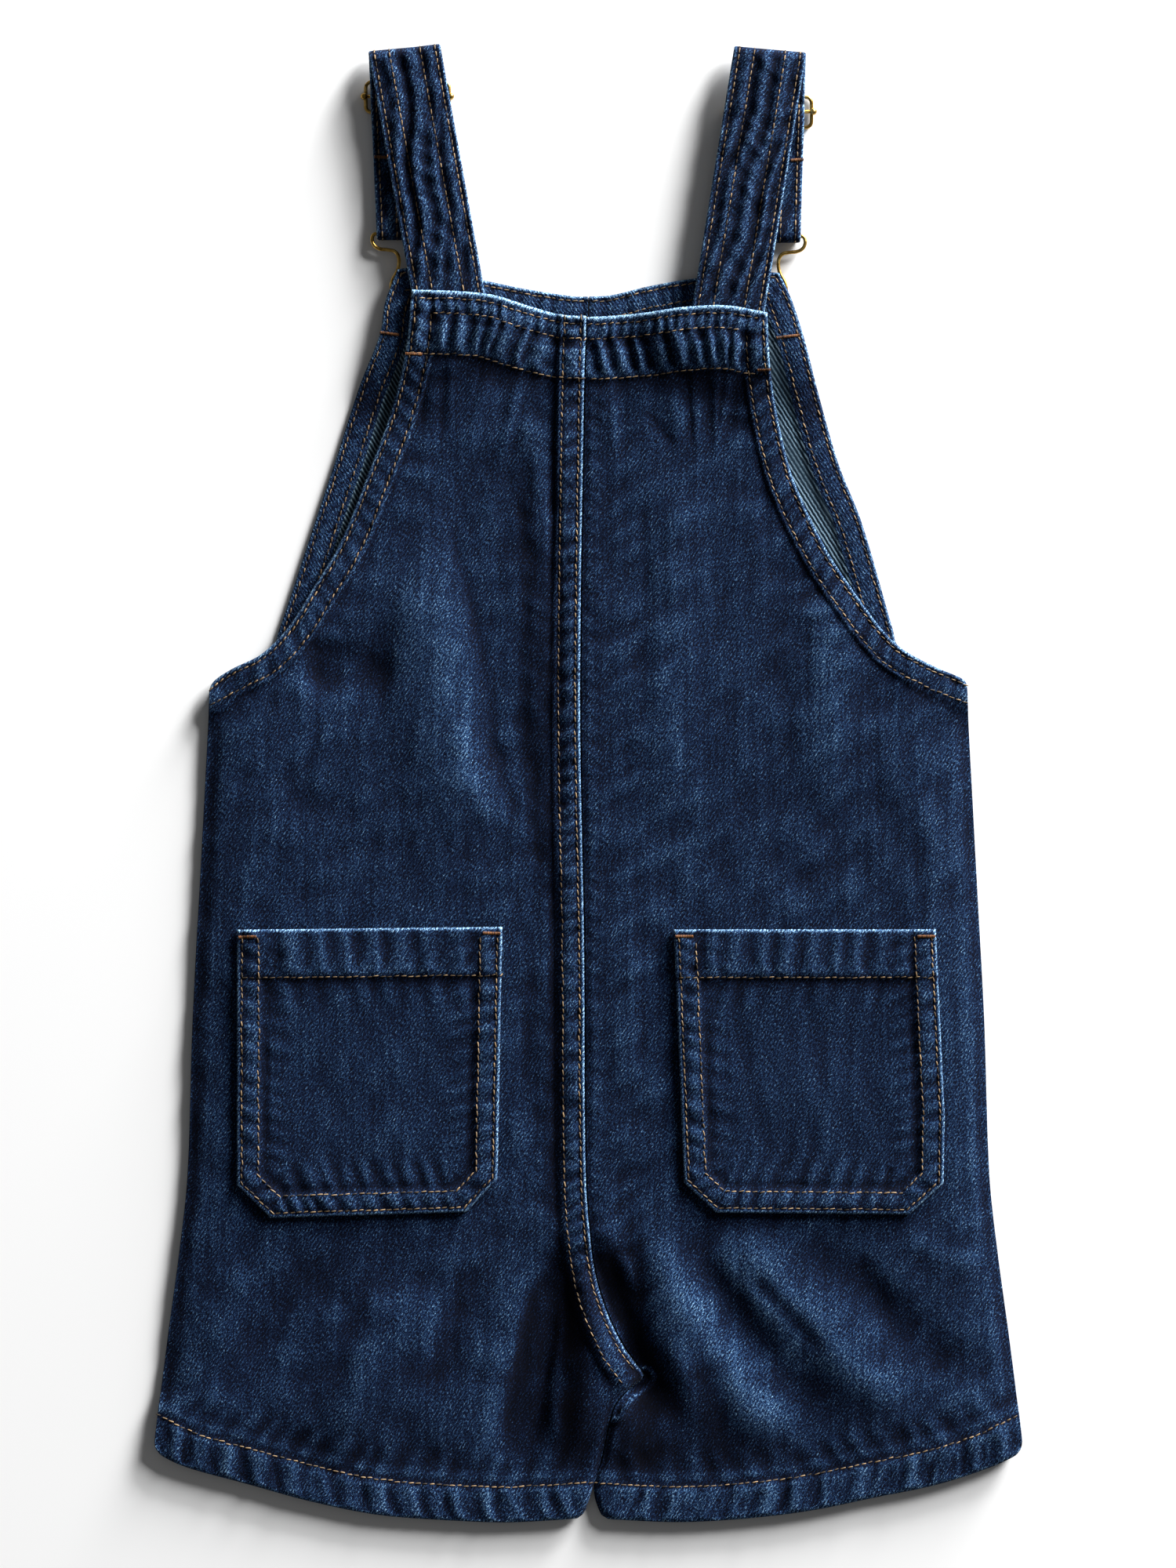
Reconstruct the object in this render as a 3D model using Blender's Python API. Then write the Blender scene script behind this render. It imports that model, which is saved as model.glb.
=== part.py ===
"""Denim shortalls laid flat with the back side up, as solids at their real size.

The garment lies on z = 0. Its straps point to +Y and the viewer's right is +X. The front halves
lie underneath, the back halves on them, and the pockets on the back. The straps turn over at the
top and come back beneath to brass slides and to wire hooks on the buttons of the front bib.
All sizes below are in millimetres, and the meshes are made in metres.
"""
import math

import bmesh
import bpy
from mathutils import Vector

MM = 0.001

# Cloth
CLOTH = 1.1            # one layer of washed denim
TURNED = 0.9           # what a turned hem adds to it
GAP = 0.3              # between pieces that touch
PANEL_GAP = 0.6        # between the front and the thickest hem of the back
EDGE_ROUND = 0.45      # how far a fold's edge is rounded down
LEG_HEM = 13.6         # turned depth at the leg
ARM_HEM = 9.4          # turned depth at the armhole
FACING = 24.0          # depth of the back band's facing
BIB_HEM = 10.5         # turned depth at the bib's top
SEAM_LAP = 9.4         # the raised lap left of the centre seam
SEAM_RISE = 1.0        # how much the lap stands above the panel
SEAM_OFFSET = 0.5      # from the left half's edge to the right half's

# Lie of the panels over each other
CROWN = 1.5            # how far the back puffs up off the front
CROWN_REACH = 22.0     # width over which it does so from the sides
SIDE_DROP = 1.2        # how far the back comes down to the front at the side seam
SIDE_REACH = 7.0

# Hooks, buttons and the lift they give the bib's corners
WIRE = 1.4             # wire diameter of hooks and slides
HOOK_Z = 2.65          # height of the hook wire's centre
BUTTON_R = 8.0
BUTTON_HEAD = 1.6      # thickness of the button's head
SHANK_R = 2.3
BIB_LIFT = 3.65        # underside of the bib over a hook
LIFT_REACH = 30.0      # how far the lift takes to die out
EYE_HALF = 9.5         # half the width that the hook lifts

# Straps
STRAP_W = 27.6
STRAP_T = 1.6
STRAP_Z = 7.0          # height of the back run's middle
STRAP_TUCK = 5.5       # how far a strap goes in behind the band
STRAP_OVER = 8.25      # underside of the band over a strap's end
STRAP_REACH = 26.0

# Back half, outer edge from the hem's corner to the band's corner: share of the way, x, y
BACK_OUTER_LEFT = (
    (0.000, -166.6, -255.8),
    (0.037, -164.8, -240.0),
    (0.107, -161.0, -210.0),
    (0.178, -156.9, -180.0),
    (0.248, -153.7, -150.0),
    (0.389, -151.7, -90.0),
    (0.529, -148.5, -30.0),
    (0.675, -145.2, 32.0),
    (0.687, -144.8, 37.2),
    (0.694, -142.7, 40.1),
    (0.708, -136.4, 44.1),
    (0.735, -125.0, 49.8),
    (0.765, -114.8, 60.2),
    (0.795, -105.5, 75.0),
    (0.828, -95.3, 92.1),
    (0.883, -82.4, 124.2),
    (0.911, -76.4, 140.4),
    (0.955, -70.0, 164.4),
    (1.000, -67.4, 188.7),
)
BACK_OUTER_RIGHT = (
    (0.000, 166.6, -255.8),
    (0.037, 164.8, -240.0),
    (0.107, 161.0, -210.0),
    (0.178, 156.9, -180.0),
    (0.248, 153.7, -150.0),
    (0.389, 151.7, -90.0),
    (0.529, 148.5, -30.0),
    (0.675, 145.2, 32.0),
    (0.687, 144.7, 38.4),
    (0.694, 142.7, 40.6),
    (0.708, 133.0, 44.7),
    (0.735, 120.3, 51.6),
    (0.765, 111.2, 60.7),
    (0.795, 100.8, 75.0),
    (0.828, 91.0, 90.0),
    (0.883, 79.0, 115.4),
    (0.911, 74.0, 133.0),
    (0.955, 69.6, 157.8),
    (1.000, 68.3, 180.0),
)

# Front half, outer edge, just inside the back's up to the armhole: share, x, y
FRONT_OUTER_LEFT = (
    (0.000, -165.6, -255.0),
    (0.037, -164.2, -240.0),
    (0.107, -160.4, -210.0),
    (0.178, -156.3, -180.0),
    (0.248, -153.1, -150.0),
    (0.389, -151.1, -90.0),
    (0.529, -147.9, -30.0),
    (0.675, -144.6, 32.0),
    (0.687, -144.2, 36.6),
    (0.694, -141.9, 39.2),
    (0.708, -135.8, 43.0),
    (0.735, -122.3, 51.4),
    (0.765, -118.4, 60.0),
    (0.835, -105.0, 100.2),
    (0.880, -97.0, 124.2),
    (0.932, -87.8, 152.4),
    (0.968, -79.7, 172.5),
    (0.985, -77.8, 184.5),
    (1.000, -73.0, 197.0),
)
FRONT_OUTER_RIGHT = (
    (0.000, 165.6, -255.0),
    (0.037, 164.2, -240.0),
    (0.107, 160.4, -210.0),
    (0.178, 156.3, -180.0),
    (0.248, 153.1, -150.0),
    (0.389, 151.1, -90.0),
    (0.529, 147.9, -30.0),
    (0.675, 144.6, 32.0),
    (0.687, 144.1, 37.8),
    (0.694, 141.9, 39.8),
    (0.708, 132.4, 43.6),
    (0.735, 119.4, 52.4),
    (0.765, 116.6, 60.0),
    (0.835, 104.9, 100.2),
    (0.880, 95.9, 123.0),
    (0.932, 87.6, 152.0),
    (0.968, 82.4, 171.3),
    (0.985, 77.6, 186.0),
    (1.000, 73.0, 195.6),
)

# The left half's edge on the centre-back seam, then the crotch and the inseam: share, x, y
BACK_SEAM = (
    (0.000, -4.2, -281.4),
    (0.008, -1.6, -279.0),
    (0.026, 1.6, -270.0),
    (0.052, 5.0, -258.0),
    (0.098, 9.8, -237.5),
    (0.106, 14.6, -232.0),
    (0.118, 20.9, -227.1),
    (0.130, 17.9, -221.7),
    (0.142, 13.7, -215.7),
    (0.168, 7.7, -203.7),
    (0.197, 3.2, -190.2),
    (0.226, 1.0, -176.7),
    (0.283, -1.0, -150.0),
    (0.477, -1.7, -60.0),
    (0.670, -3.2, 30.0),
    (0.935, -1.7, 150.0),
    (1.000, -0.8, 179.1),
)
# The right half's inner edge leaves the seam at the hem, beside the notch
RIGHT_NOTCH = ((0.000, 7.4, -281.6), (0.008, 4.6, -279.4))

FRONT_SEAM = (
    (0.000, -5.4, -280.4),
    (0.026, 0.2, -268.5),
    (0.052, 2.2, -258.0),
    (0.130, 1.4, -222.0),
    (0.283, -0.2, -150.0),
    (1.000, -0.2, 187.0),
)
FRONT_NOTCH = ((0.000, 8.6, -280.4), (0.026, 3.6, -269.5))

# Edges across: x, y from the outer side to the seam, without their two ends
HEM_LEFT = ((-155.0, -261.3), (-130.4, -268.2), (-105.5, -275.0), (-80.6, -279.9),
            (-55.7, -281.9), (-30.9, -282.8))
HEM_RIGHT = ((155.0, -261.3), (134.0, -268.2), (109.2, -273.4), (84.4, -278.4),
             (59.5, -281.4), (34.6, -282.7))
BAND_LEFT = ((-39.5, 187.2), (-22.0, 182.6), (-8.9, 179.4))
BAND_RIGHT = ((53.0, 182.6), (36.8, 182.1), (22.0, 180.3), (6.0, 179.1))
BIB_LEFT = ((-69.0, 197.5), (-39.5, 192.9), (-24.6, 190.0), (-6.0, 187.1))
BIB_RIGHT = ((69.0, 195.9), (38.9, 193.6), (23.4, 191.0), (8.6, 187.5))

# The largest folds of the back, each a soft ridge (+) or trough (-) along three points
FOLDS = (
    # x0, y0, x1, y1, x2, y2, half width, height
    (-43.0, 134.0, -35.0, 60.0, -31.0, -20.0, 13.0, -2.0),
    (-68.0, 100.0, -57.0, 34.0, -50.0, -30.0, 15.0, 1.6),
    (-112.0, 40.0, -92.0, 44.0, -70.0, 40.0, 11.0, -1.3),
    (91.0, 78.0, 92.0, 40.0, 88.0, -8.0, 12.0, 1.2),
    (34.0, 130.0, 30.0, 60.0, 26.0, -20.0, 15.0, 0.9),
    (-7.0, -172.0, -18.0, -216.0, -31.0, -262.0, 9.0, -2.2),
    (8.0, -166.0, 22.0, -206.0, 34.0, -252.0, 8.0, -2.6),
    (16.0, -160.0, 44.0, -214.0, 74.0, -256.0, 10.0, 2.2),
    (32.0, -166.0, 65.0, -212.0, 98.0, -254.0, 9.0, -1.2),
    (46.0, -168.0, 86.0, -208.0, 126.0, -246.0, 10.0, 1.8),
    (76.0, -168.0, 117.0, -204.0, 150.0, -236.0, 9.0, -1.2),
    (-60.0, -190.0, -84.0, -224.0, -104.0, -258.0, 14.0, 1.3),
    (-92.0, -176.0, -122.0, -206.0, -142.0, -236.0, 12.0, -0.9),
)

# The crotch, where the seams cross and stack up
CROTCH_X = 16.0
CROTCH_Y = -222.0
CROTCH_RISE = 3.4
CROTCH_REACH = 34.0

# Patch pockets: outline down each side to the cut-off corner, x and y; share of the height first
POCKET_LEFT_OUTER = ((0.0, -121.4, -165.9), (0.12, -134.4, -153.3), (1.0, -134.3, -55.7))
POCKET_LEFT_INNER = ((0.0, -46.7, -163.7), (0.12, -34.7, -151.0), (1.0, -32.9, -54.6))
POCKET_RIGHT_OUTER = ((0.0, 122.6, -164.6), (0.12, 135.8, -152.6), (0.4, 136.2, -126.0),
                      (1.0, 132.8, -55.5))
POCKET_RIGHT_INNER = ((0.0, 48.8, -163.9), (0.12, 36.5, -152.4), (1.0, 32.6, -55.6))
POCKET_CLEAR = 0.5     # over the panel, which is folded beneath it
POCKET_HEM = 18.4
POCKET_TURN = 8.4

# Straps and their brass: middle of each run in the plan
STRAPS = {
    # band_x, band_y, top_x, top_y, hook_x, hook_y, slide_x, slide_y
    "left": (-53.6, 188.0, -70.5, 281.7, -67.3, 210.9, -69.4, 263.5),
    "right": (53.5, 181.5, 69.6, 281.1, 67.5, 209.9, 69.6, 257.7),
}
SLIDE_HALF_W = 16.0    # wire centre to the middle of the slide
SLIDE_HALF_H = 5.8
BAR_HALF = 16.6        # middle of the centre bar to the middle of its ball ends
BALL_R = 1.35
FRAME_Z = 1.0
BAR_Z = 2.62
BUTTON_Y = 180.0

INDIGO = (0.013, 0.045, 0.112, 1.0)
BRASS = (0.42, 0.27, 0.09, 1.0)


def ease(share):
    """0 to 1 with soft ends."""
    share = min(max(share, 0.0), 1.0)
    return share * share * (3.0 - 2.0 * share)


def along(rows, share):
    """The point at a share of the way through rows of (share, x, y), on a smooth curve."""
    last = len(rows) - 1
    index = 0
    while index < last - 1 and share > rows[index + 1][0]:
        index += 1
    start, end = rows[index], rows[index + 1]
    before, after = rows[max(index - 1, 0)], rows[min(index + 2, last)]
    span = end[0] - start[0]
    t = (share - start[0]) / span
    point = []
    for axis in (1, 2):
        leave = (end[axis] - before[axis]) / (end[0] - before[0]) * span
        arrive = (after[axis] - start[axis]) / (after[0] - start[0]) * span
        point.append((2 * t ** 3 - 3 * t ** 2 + 1) * start[axis] + (t ** 3 - 2 * t ** 2 + t) * leave
                     + (3 * t ** 2 - 2 * t ** 3) * end[axis] + (t ** 3 - t ** 2) * arrive)
    return point


def straight(rows, share):
    """As along, with straight runs and sharp corners."""
    index = 0
    while index < len(rows) - 2 and share > rows[index + 1][0]:
        index += 1
    start, end = rows[index], rows[index + 1]
    t = (share - start[0]) / (end[0] - start[0])
    return [start[axis] + (end[axis] - start[axis]) * t for axis in (1, 2)]


def across(start, middle, end):
    """Rows for an edge that runs across, its share measured in x."""
    points = (tuple(start),) + tuple(middle) + (tuple(end),)
    return tuple(((x - start[0]) / (end[0] - start[0]), x, y) for x, y in points)


class Sheet:
    """A flat cut between four edges: u runs from the outer edge to the seam, v up from the hem."""

    def __init__(self, outer, inner, hem, top, curve=along):
        self.outer, self.inner, self.curve = outer, inner, curve
        self.hem = across(outer[0][1:], hem, inner[0][1:])
        self.top = across(outer[-1][1:], top, inner[-1][1:])

    def point(self, u, v):
        outer, inner = self.curve(self.outer, v), self.curve(self.inner, v)
        hem, top = self.curve(self.hem, u), self.curve(self.top, u)
        place = []
        for axis in (0, 1):
            corners = ((1 - u) * (1 - v) * self.outer[0][axis + 1] + u * (1 - v) * self.inner[0][axis + 1]
                       + (1 - u) * v * self.outer[-1][axis + 1] + u * v * self.inner[-1][axis + 1])
            place.append((1 - u) * outer[axis] + u * inner[axis]
                         + (1 - v) * hem[axis] + v * top[axis] - corners)
        return place

    def width(self, v):
        outer, inner = self.curve(self.outer, v), self.curve(self.inner, v)
        return math.dist(outer, inner)


def bib_lift(x, y):
    """Underside of the front above the surface: raised over each hook and button."""
    lift = 0.0
    for strap in STRAPS.values():
        aside = max(abs(x - strap[4]) - EYE_HALF, 0.0)
        below = max(BUTTON_Y - BUTTON_R - 1.0 - y, 0.0)
        lift = max(lift, BIB_LIFT * (1.0 - ease(math.hypot(aside, below) / LIFT_REACH)))
    return lift


def strap_cover(x, y):
    """1 over a strap's end behind the band, fading to 0 round it."""
    cover = 0.0
    for band_x, band_y, *_rest in STRAPS.values():
        aside = max(abs(x - band_x) - STRAP_W / 2 - 2.0, 0.0)
        below = max(band_y - STRAP_TUCK - 1.5 - y, 0.0)
        cover = max(cover, 1.0 - ease(math.hypot(aside, below) / STRAP_REACH))
    return cover


def fold_height(x, y):
    """Sum of the soft ridges and troughs at a point."""
    height = 0.0
    for x0, y0, x1, y1, x2, y2, half, rise in FOLDS:
        nearest, share = 1e9, 0.0
        for part, (ax, ay, bx, by) in enumerate(((x0, y0, x1, y1), (x1, y1, x2, y2))):
            length = math.dist((ax, ay), (bx, by))
            t = ((x - ax) * (bx - ax) + (y - ay) * (by - ay)) / length ** 2
            clamped = min(max(t, 0.0), 1.0)
            distance = math.dist((x, y), (ax + (bx - ax) * clamped, ay + (by - ay) * clamped))
            if distance < nearest:
                nearest, share = distance, (part + clamped) / 2
        fade = ease(min(share, 1.0 - share) / 0.25)
        height += rise * fade * math.exp(-(nearest / half) ** 2)
    return height


def crown(x, y):
    """How far the back puffs up: most in the middle of the body, none at the edges."""
    side = 145.0 + 22.0 * (37.0 - y) / 291.0
    height = CROWN * ease((side - abs(x)) / CROWN_REACH) * ease((y + 268.0) / 30.0)
    return height * (1.0 - ease((y - 10.0) / 90.0) * 0.8)


def crotch_rise(x, y):
    return CROTCH_RISE * (1.0 - ease(math.hypot(x - CROTCH_X, (y - CROTCH_Y) * 0.8) / CROTCH_REACH))


def back_under(x, y):
    """Height of the back's underside."""
    base = bib_lift(x, y) + CLOTH + TURNED + PANEL_GAP
    inside = ease((y + 276.0) / 22.0)
    base += crown(x, y) + max((fold_height(x, y) + crotch_rise(x, y)) * inside, -crown(x, y) - 0.5)
    return base + max(STRAP_OVER - base, 0.0) * strap_cover(x, y)


def turned_edge(distance, depth):
    """Thickness that a turned hem adds at a distance from its fold."""
    return TURNED * (1.0 - ease((distance - depth) / 1.6))


def seam_lap(distance):
    return SEAM_RISE * (1.0 - ease((distance - SEAM_LAP) / 2.0))


def solid_from_grid(name, grid, colour, smooth=30.0):
    """Closed wall from grid[row][column] = (x, y, underside, topside), all in millimetres."""
    rows, columns = len(grid), len(grid[0])
    bm = bmesh.new()
    under = [[bm.verts.new((x * MM, y * MM, low * MM)) for x, y, low, _high in row] for row in grid]
    over = [[bm.verts.new((x * MM, y * MM, high * MM)) for x, y, _low, high in row] for row in grid]
    for r in range(rows - 1):
        for c in range(columns - 1):
            for layer in (under, over):
                bm.faces.new((layer[r][c], layer[r][c + 1], layer[r + 1][c + 1], layer[r + 1][c]))
    rim = [(0, c) for c in range(columns)]
    rim += [(r, columns - 1) for r in range(1, rows)]
    rim += [(rows - 1, c) for c in range(columns - 2, -1, -1)]
    rim += [(r, 0) for r in range(rows - 2, 0, -1)]
    for (r0, c0), (r1, c1) in zip(rim, rim[1:] + rim[:1]):
        bm.faces.new((under[r0][c0], under[r1][c1], over[r1][c1], over[r0][c0]))
    return finish(name, bm, colour, smooth)


def finish(name, bm, colour, smooth=30.0, metallic=0.0):
    """Object from a bmesh, with outward faces, smooth shading and its own material."""
    bmesh.ops.recalc_face_normals(bm, faces=bm.faces)
    mesh = bpy.data.meshes.new(name)
    bm.to_mesh(mesh)
    bm.free()
    mesh.shade_smooth()
    mesh.set_sharp_from_angle(angle=math.radians(smooth))
    material = bpy.data.materials.new(name)
    material.use_nodes = True
    shader = material.node_tree.nodes["Principled BSDF"]
    shader.inputs["Base Color"].default_value = colour
    shader.inputs["Roughness"].default_value = 0.35 if metallic else 0.9
    shader.inputs["Metallic"].default_value = metallic
    mesh.materials.append(material)
    part = bpy.data.objects.new(name, mesh)
    bpy.context.collection.objects.link(part)
    return part


def spread(start, end, count):
    """Evenly spaced values from start to end, both included."""
    return [start + (end - start) * index / (count - 1) for index in range(count)]


def body_rows(length, finer_top):
    """Shares up a panel: close together at the hem and at the band, even between."""
    hem = [0.0, 1.2, LEG_HEM, LEG_HEM + 1.8]
    top = [length - FACING - 1.8, length - FACING, length - finer_top, length - 1.2, length]
    middle = spread(hem[-1], top[0], 28)[1:-1]
    return [value / length for value in hem + middle + top]


def edge_columns(width, hem, lap, count):
    """Shares across a panel: close together at the outer edge and at the seam."""
    outer = [0.0, 1.2, hem, hem + 1.8]
    inner = [width - lap - 2.0, width - lap, width - 1.0, width]
    middle = spread(outer[-1], inner[0], count)[1:-1]
    return [value / width for value in outer + middle + inner]


def side_drop(from_side, from_hem, v):
    """How far the back comes down to the front beside the side seam, between its hems."""
    between = ease((from_hem - LEG_HEM) / 12.0) * (1 - ease((v - 0.645) / 0.03))
    return SIDE_DROP * (1 - ease(from_side / SIDE_REACH)) * between


def back_half(name, outer, inner, hem, band, lapped):
    """One back half, from the shoulder band to the leg hem."""
    sheet = Sheet(outer, inner, hem, band)
    length = 460.0
    grid = []
    for v in body_rows(length, 9.0):
        width = sheet.width(v)
        row = []
        for u in edge_columns(width, ARM_HEM, SEAM_LAP, 11):
            x, y = sheet.point(u, v)
            from_side, from_seam = u * width, (1 - u) * width
            from_hem, from_top = v * length, (1 - v) * length
            armhole = ease((v - 0.687) / 0.012)
            low = back_under(x, y)
            low -= side_drop(from_side, from_hem, v)
            thick = max(turned_edge(from_hem, LEG_HEM), turned_edge(from_top, FACING),
                        turned_edge(from_side, ARM_HEM) * armhole)
            high = low + CLOTH + thick
            if lapped:
                high += seam_lap(from_seam) * ease((y + 236.0) / 12.0)
            nearest = min(from_side, from_hem, from_top)
            high -= EDGE_ROUND * (1 - ease(nearest / 1.2))
            row.append((x, y, low, high))
        grid.append(row)
    return solid_from_grid(name, grid, INDIGO)


def front_half(name, outer, inner, hem, bib):
    """One front half, from the bib's top to the leg hem, flat on the surface."""
    sheet = Sheet(outer, inner, hem, bib)
    length = 466.0
    grid = []
    for v in body_rows(length, 9.0):
        width = sheet.width(v)
        row = []
        for u in edge_columns(width, ARM_HEM + 0.8, 2.0, 6):
            x, y = sheet.point(u, v)
            from_side = u * width
            from_hem, from_top = v * length, (1 - v) * length
            armhole = ease((v - 0.687) / 0.012)
            low = bib_lift(x, y)
            thick = max(turned_edge(from_hem, LEG_HEM), turned_edge(from_top, BIB_HEM),
                        turned_edge(from_side, ARM_HEM) * armhole)
            high = low + CLOTH + thick
            high -= EDGE_ROUND * (1 - ease(min(from_side, from_hem, from_top) / 1.2))
            row.append((x, y, low, high))
        grid.append(row)
    return solid_from_grid(name, grid, INDIGO)


def pocket(name, outer, inner):
    """A patch pocket, made from the panel's own heights moved out."""
    hem = ((outer[0][1] + inner[0][1]) / 2, (outer[0][2] + inner[0][2]) / 2)
    top = ((outer[-1][1] + inner[-1][1]) / 2, (outer[-1][2] + inner[-1][2]) / 2)
    sheet = Sheet(outer, inner, (hem,), (top,), straight)
    height = 110.0
    rows = [0.0, 1.2, POCKET_TURN, POCKET_TURN + 1.4] + spread(13.2, height - POCKET_HEM - 1.6, 9)
    rows += [height - POCKET_HEM, height - 9.0, height - 1.2, height]
    grid = []
    for along_height in rows:
        v = along_height / height
        width = sheet.width(v)
        columns = [0.0, 1.2, POCKET_TURN, POCKET_TURN + 1.4]
        columns += spread(POCKET_TURN + 1.4, width - POCKET_TURN - 1.4, 9)[1:-1]
        columns += [width - POCKET_TURN - 1.4, width - POCKET_TURN, width - 1.2, width]
        row = []
        for distance in columns:
            x, y = sheet.point(distance / width, v)
            from_side = min(distance, width - distance)
            low = back_under(x, y) + CLOTH + POCKET_CLEAR
            thick = max(turned_edge(min(from_side, along_height), POCKET_TURN) * 0.7,
                        turned_edge(height - along_height, POCKET_HEM))
            nearest = min(from_side, along_height, height - along_height)
            high = low + CLOTH + thick - EDGE_ROUND * (1 - ease(nearest / 1.2))
            row.append((x, y, low, high))
        grid.append(row)
    return solid_from_grid(name, grid, INDIGO)


def strap_path(side):
    """Centre line of a strap from behind the band to its end on the slide: rows of (y, z)."""
    band_x, band_y, top_x, top_y, hook_x, hook_y, slide_x, slide_y = STRAPS[side]
    low = 2.95
    turn_r = (STRAP_Z - low) / 2
    turn_y = top_y - turn_r - STRAP_T / 2
    loop_r = WIRE / 2 + 0.2 + STRAP_T / 2
    path = [(band_y - STRAP_TUCK, STRAP_Z - 0.05), (band_y + 6.0, STRAP_Z)]
    path += [(y, STRAP_Z + 0.1) for y in spread(band_y + 20.0, turn_y - 6.0, 6)]
    for step in range(7):
        angle = math.radians(90 - 30 * step)
        path.append((turn_y + turn_r * math.cos(angle), low + turn_r + turn_r * math.sin(angle)))
    path += [(slide_y + SLIDE_HALF_H + 1.6, low + 0.05), (slide_y + SLIDE_HALF_H - 0.6, low - 0.1),
             (slide_y + 1.6, 0.92), (slide_y - 1.6, 0.92), (slide_y - SLIDE_HALF_H + 0.6, low - 0.1),
             (slide_y - SLIDE_HALF_H - 1.6, low - 0.05), (slide_y - 13.0, 1.5)]
    path += [(y, 1.15) for y in spread(slide_y - 18.0, hook_y + 8.0, 4)]
    path.append((hook_y + 3.0, HOOK_Z - loop_r))
    for step in range(7):
        angle = math.radians(-90 - 30 * step)
        path.append((hook_y + loop_r * math.cos(angle), HOOK_Z + loop_r * math.sin(angle)))
    path += [(hook_y + 4.0, HOOK_Z + loop_r - 0.15), (hook_y + 9.0, 3.4)]
    path += [(y, 3.3) for y in spread(hook_y + 14.0, slide_y - 16.0, 4)]
    path += [(slide_y - SLIDE_HALF_H - 2.5, 4.7), (slide_y - SLIDE_HALF_H + 1.0, 4.95),
             (slide_y - 1.5, BAR_Z + WIRE / 2 + 1.2), (slide_y + 0.8, BAR_Z + WIRE / 2 + 1.0),
             (slide_y + 1.9, BAR_Z + 0.6)]
    return path


def strap(side):
    """One strap as a continuous strip, swept along its path."""
    band_x, band_y, top_x, top_y, hook_x, hook_y, slide_x, slide_y = STRAPS[side]
    path = strap_path(side)
    back_turn = math.atan2(band_x - top_x, top_y - band_y)
    front_turn = math.atan2(hook_x - top_x, top_y - hook_y)
    turned_at = max(range(len(path)), key=lambda index: path[index][0])
    half, thick, corner = STRAP_W / 2, STRAP_T / 2, 0.5
    section = [(-half, 0), (-half + corner, -thick), (0, -thick), (half - corner, -thick),
               (half, 0), (half - corner, thick), (0, thick), (-half + corner, thick)]
    bm = bmesh.new()
    rings = []
    for index, (y, z) in enumerate(path):
        before, after = path[max(index - 1, 0)], path[min(index + 1, len(path) - 1)]
        tangent = Vector((0, after[0] - before[0], after[1] - before[1])).normalized()
        normal = Vector((0, -tangent.z, tangent.y))
        share = ease((index - turned_at + 4) / 8)
        turn = back_turn * (1 - share)
        back_x = top_x + (top_y - y) * math.tan(back_turn)
        front_x = top_x + (top_y - y) * math.tan(front_turn)
        middle = Vector((back_x * (1 - share) + front_x * share, y, z))
        wide = Vector((math.cos(turn), math.sin(turn), 0))
        rings.append([bm.verts.new((middle + wide * w + normal * t) * MM) for w, t in section])
    for ring, following in zip(rings, rings[1:]):
        for corner_a in range(len(section)):
            corner_b = (corner_a + 1) % len(section)
            bm.faces.new((ring[corner_a], ring[corner_b], following[corner_b], following[corner_a]))
    bm.faces.new(rings[0])
    bm.faces.new(rings[-1])
    return finish("strap_" + side, bm, INDIGO)


def tube(bm, points, radius, sides=6, closed=True):
    """Add a wire through points, a ring of vertices at each."""
    rings = []
    count = len(points)
    for index, point in enumerate(points):
        if closed:
            before, after = points[index - 1], points[(index + 1) % count]
        else:
            before, after = points[max(index - 1, 0)], points[min(index + 1, count - 1)]
        tangent = (after - before).normalized()
        side = tangent.cross(Vector((0, 0, 1))).normalized()
        up = side.cross(tangent)
        ring = []
        for step in range(sides):
            angle = 2 * math.pi * (step + 0.5) / sides
            ring.append(bm.verts.new((point + side * math.cos(angle) * radius
                                      + up * math.sin(angle) * radius) * MM))
        rings.append(ring)
    pairs = list(zip(rings, rings[1:] + rings[:1])) if closed else list(zip(rings, rings[1:]))
    for ring, following in pairs:
        for step in range(sides):
            other = (step + 1) % sides
            bm.faces.new((ring[step], ring[other], following[other], following[step]))
    if not closed:
        bm.faces.new(rings[0])
        bm.faces.new(rings[-1])


# Half of the hook's wire, from the strap bar's middle round to the eye's foot: x, y from the bar
HOOK_WIRE = ((0.0, 0.0), (7.0, 0.0), (13.6, 0.0), (14.9, -0.3), (15.5, -1.4), (15.5, -3.0),
             (14.5, -4.8), (12.6, -5.8), (9.4, -6.2), (6.8, -6.9), (5.5, -8.8), (5.3, -11.4), (6.0, -14.4),
             (7.6, -17.4), (8.3, -20.6), (7.4, -24.0), (5.2, -27.2), (3.7, -29.6), (3.4, -31.6))


def hook(side):
    """Wire hook: one closed wire with a bar for the strap, a neck, and an eye round the button."""
    hook_x, bar_y = STRAPS[side][4], STRAPS[side][5]
    foot_y = BUTTON_Y - bar_y - SHANK_R - GAP - WIRE / 2
    half = list(HOOK_WIRE) + [(2.6, foot_y + 1.0), (1.2, foot_y + 0.15)]
    ring = half + [(0.0, foot_y)] + [(-x, y) for x, y in reversed(half[1:])]
    points = [Vector((hook_x + x, bar_y + y, HOOK_Z)) for x, y in ring]
    bm = bmesh.new()
    tube(bm, points, WIRE / 2)
    return finish("hook_" + side, bm, BRASS, 60.0, 1.0)


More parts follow.
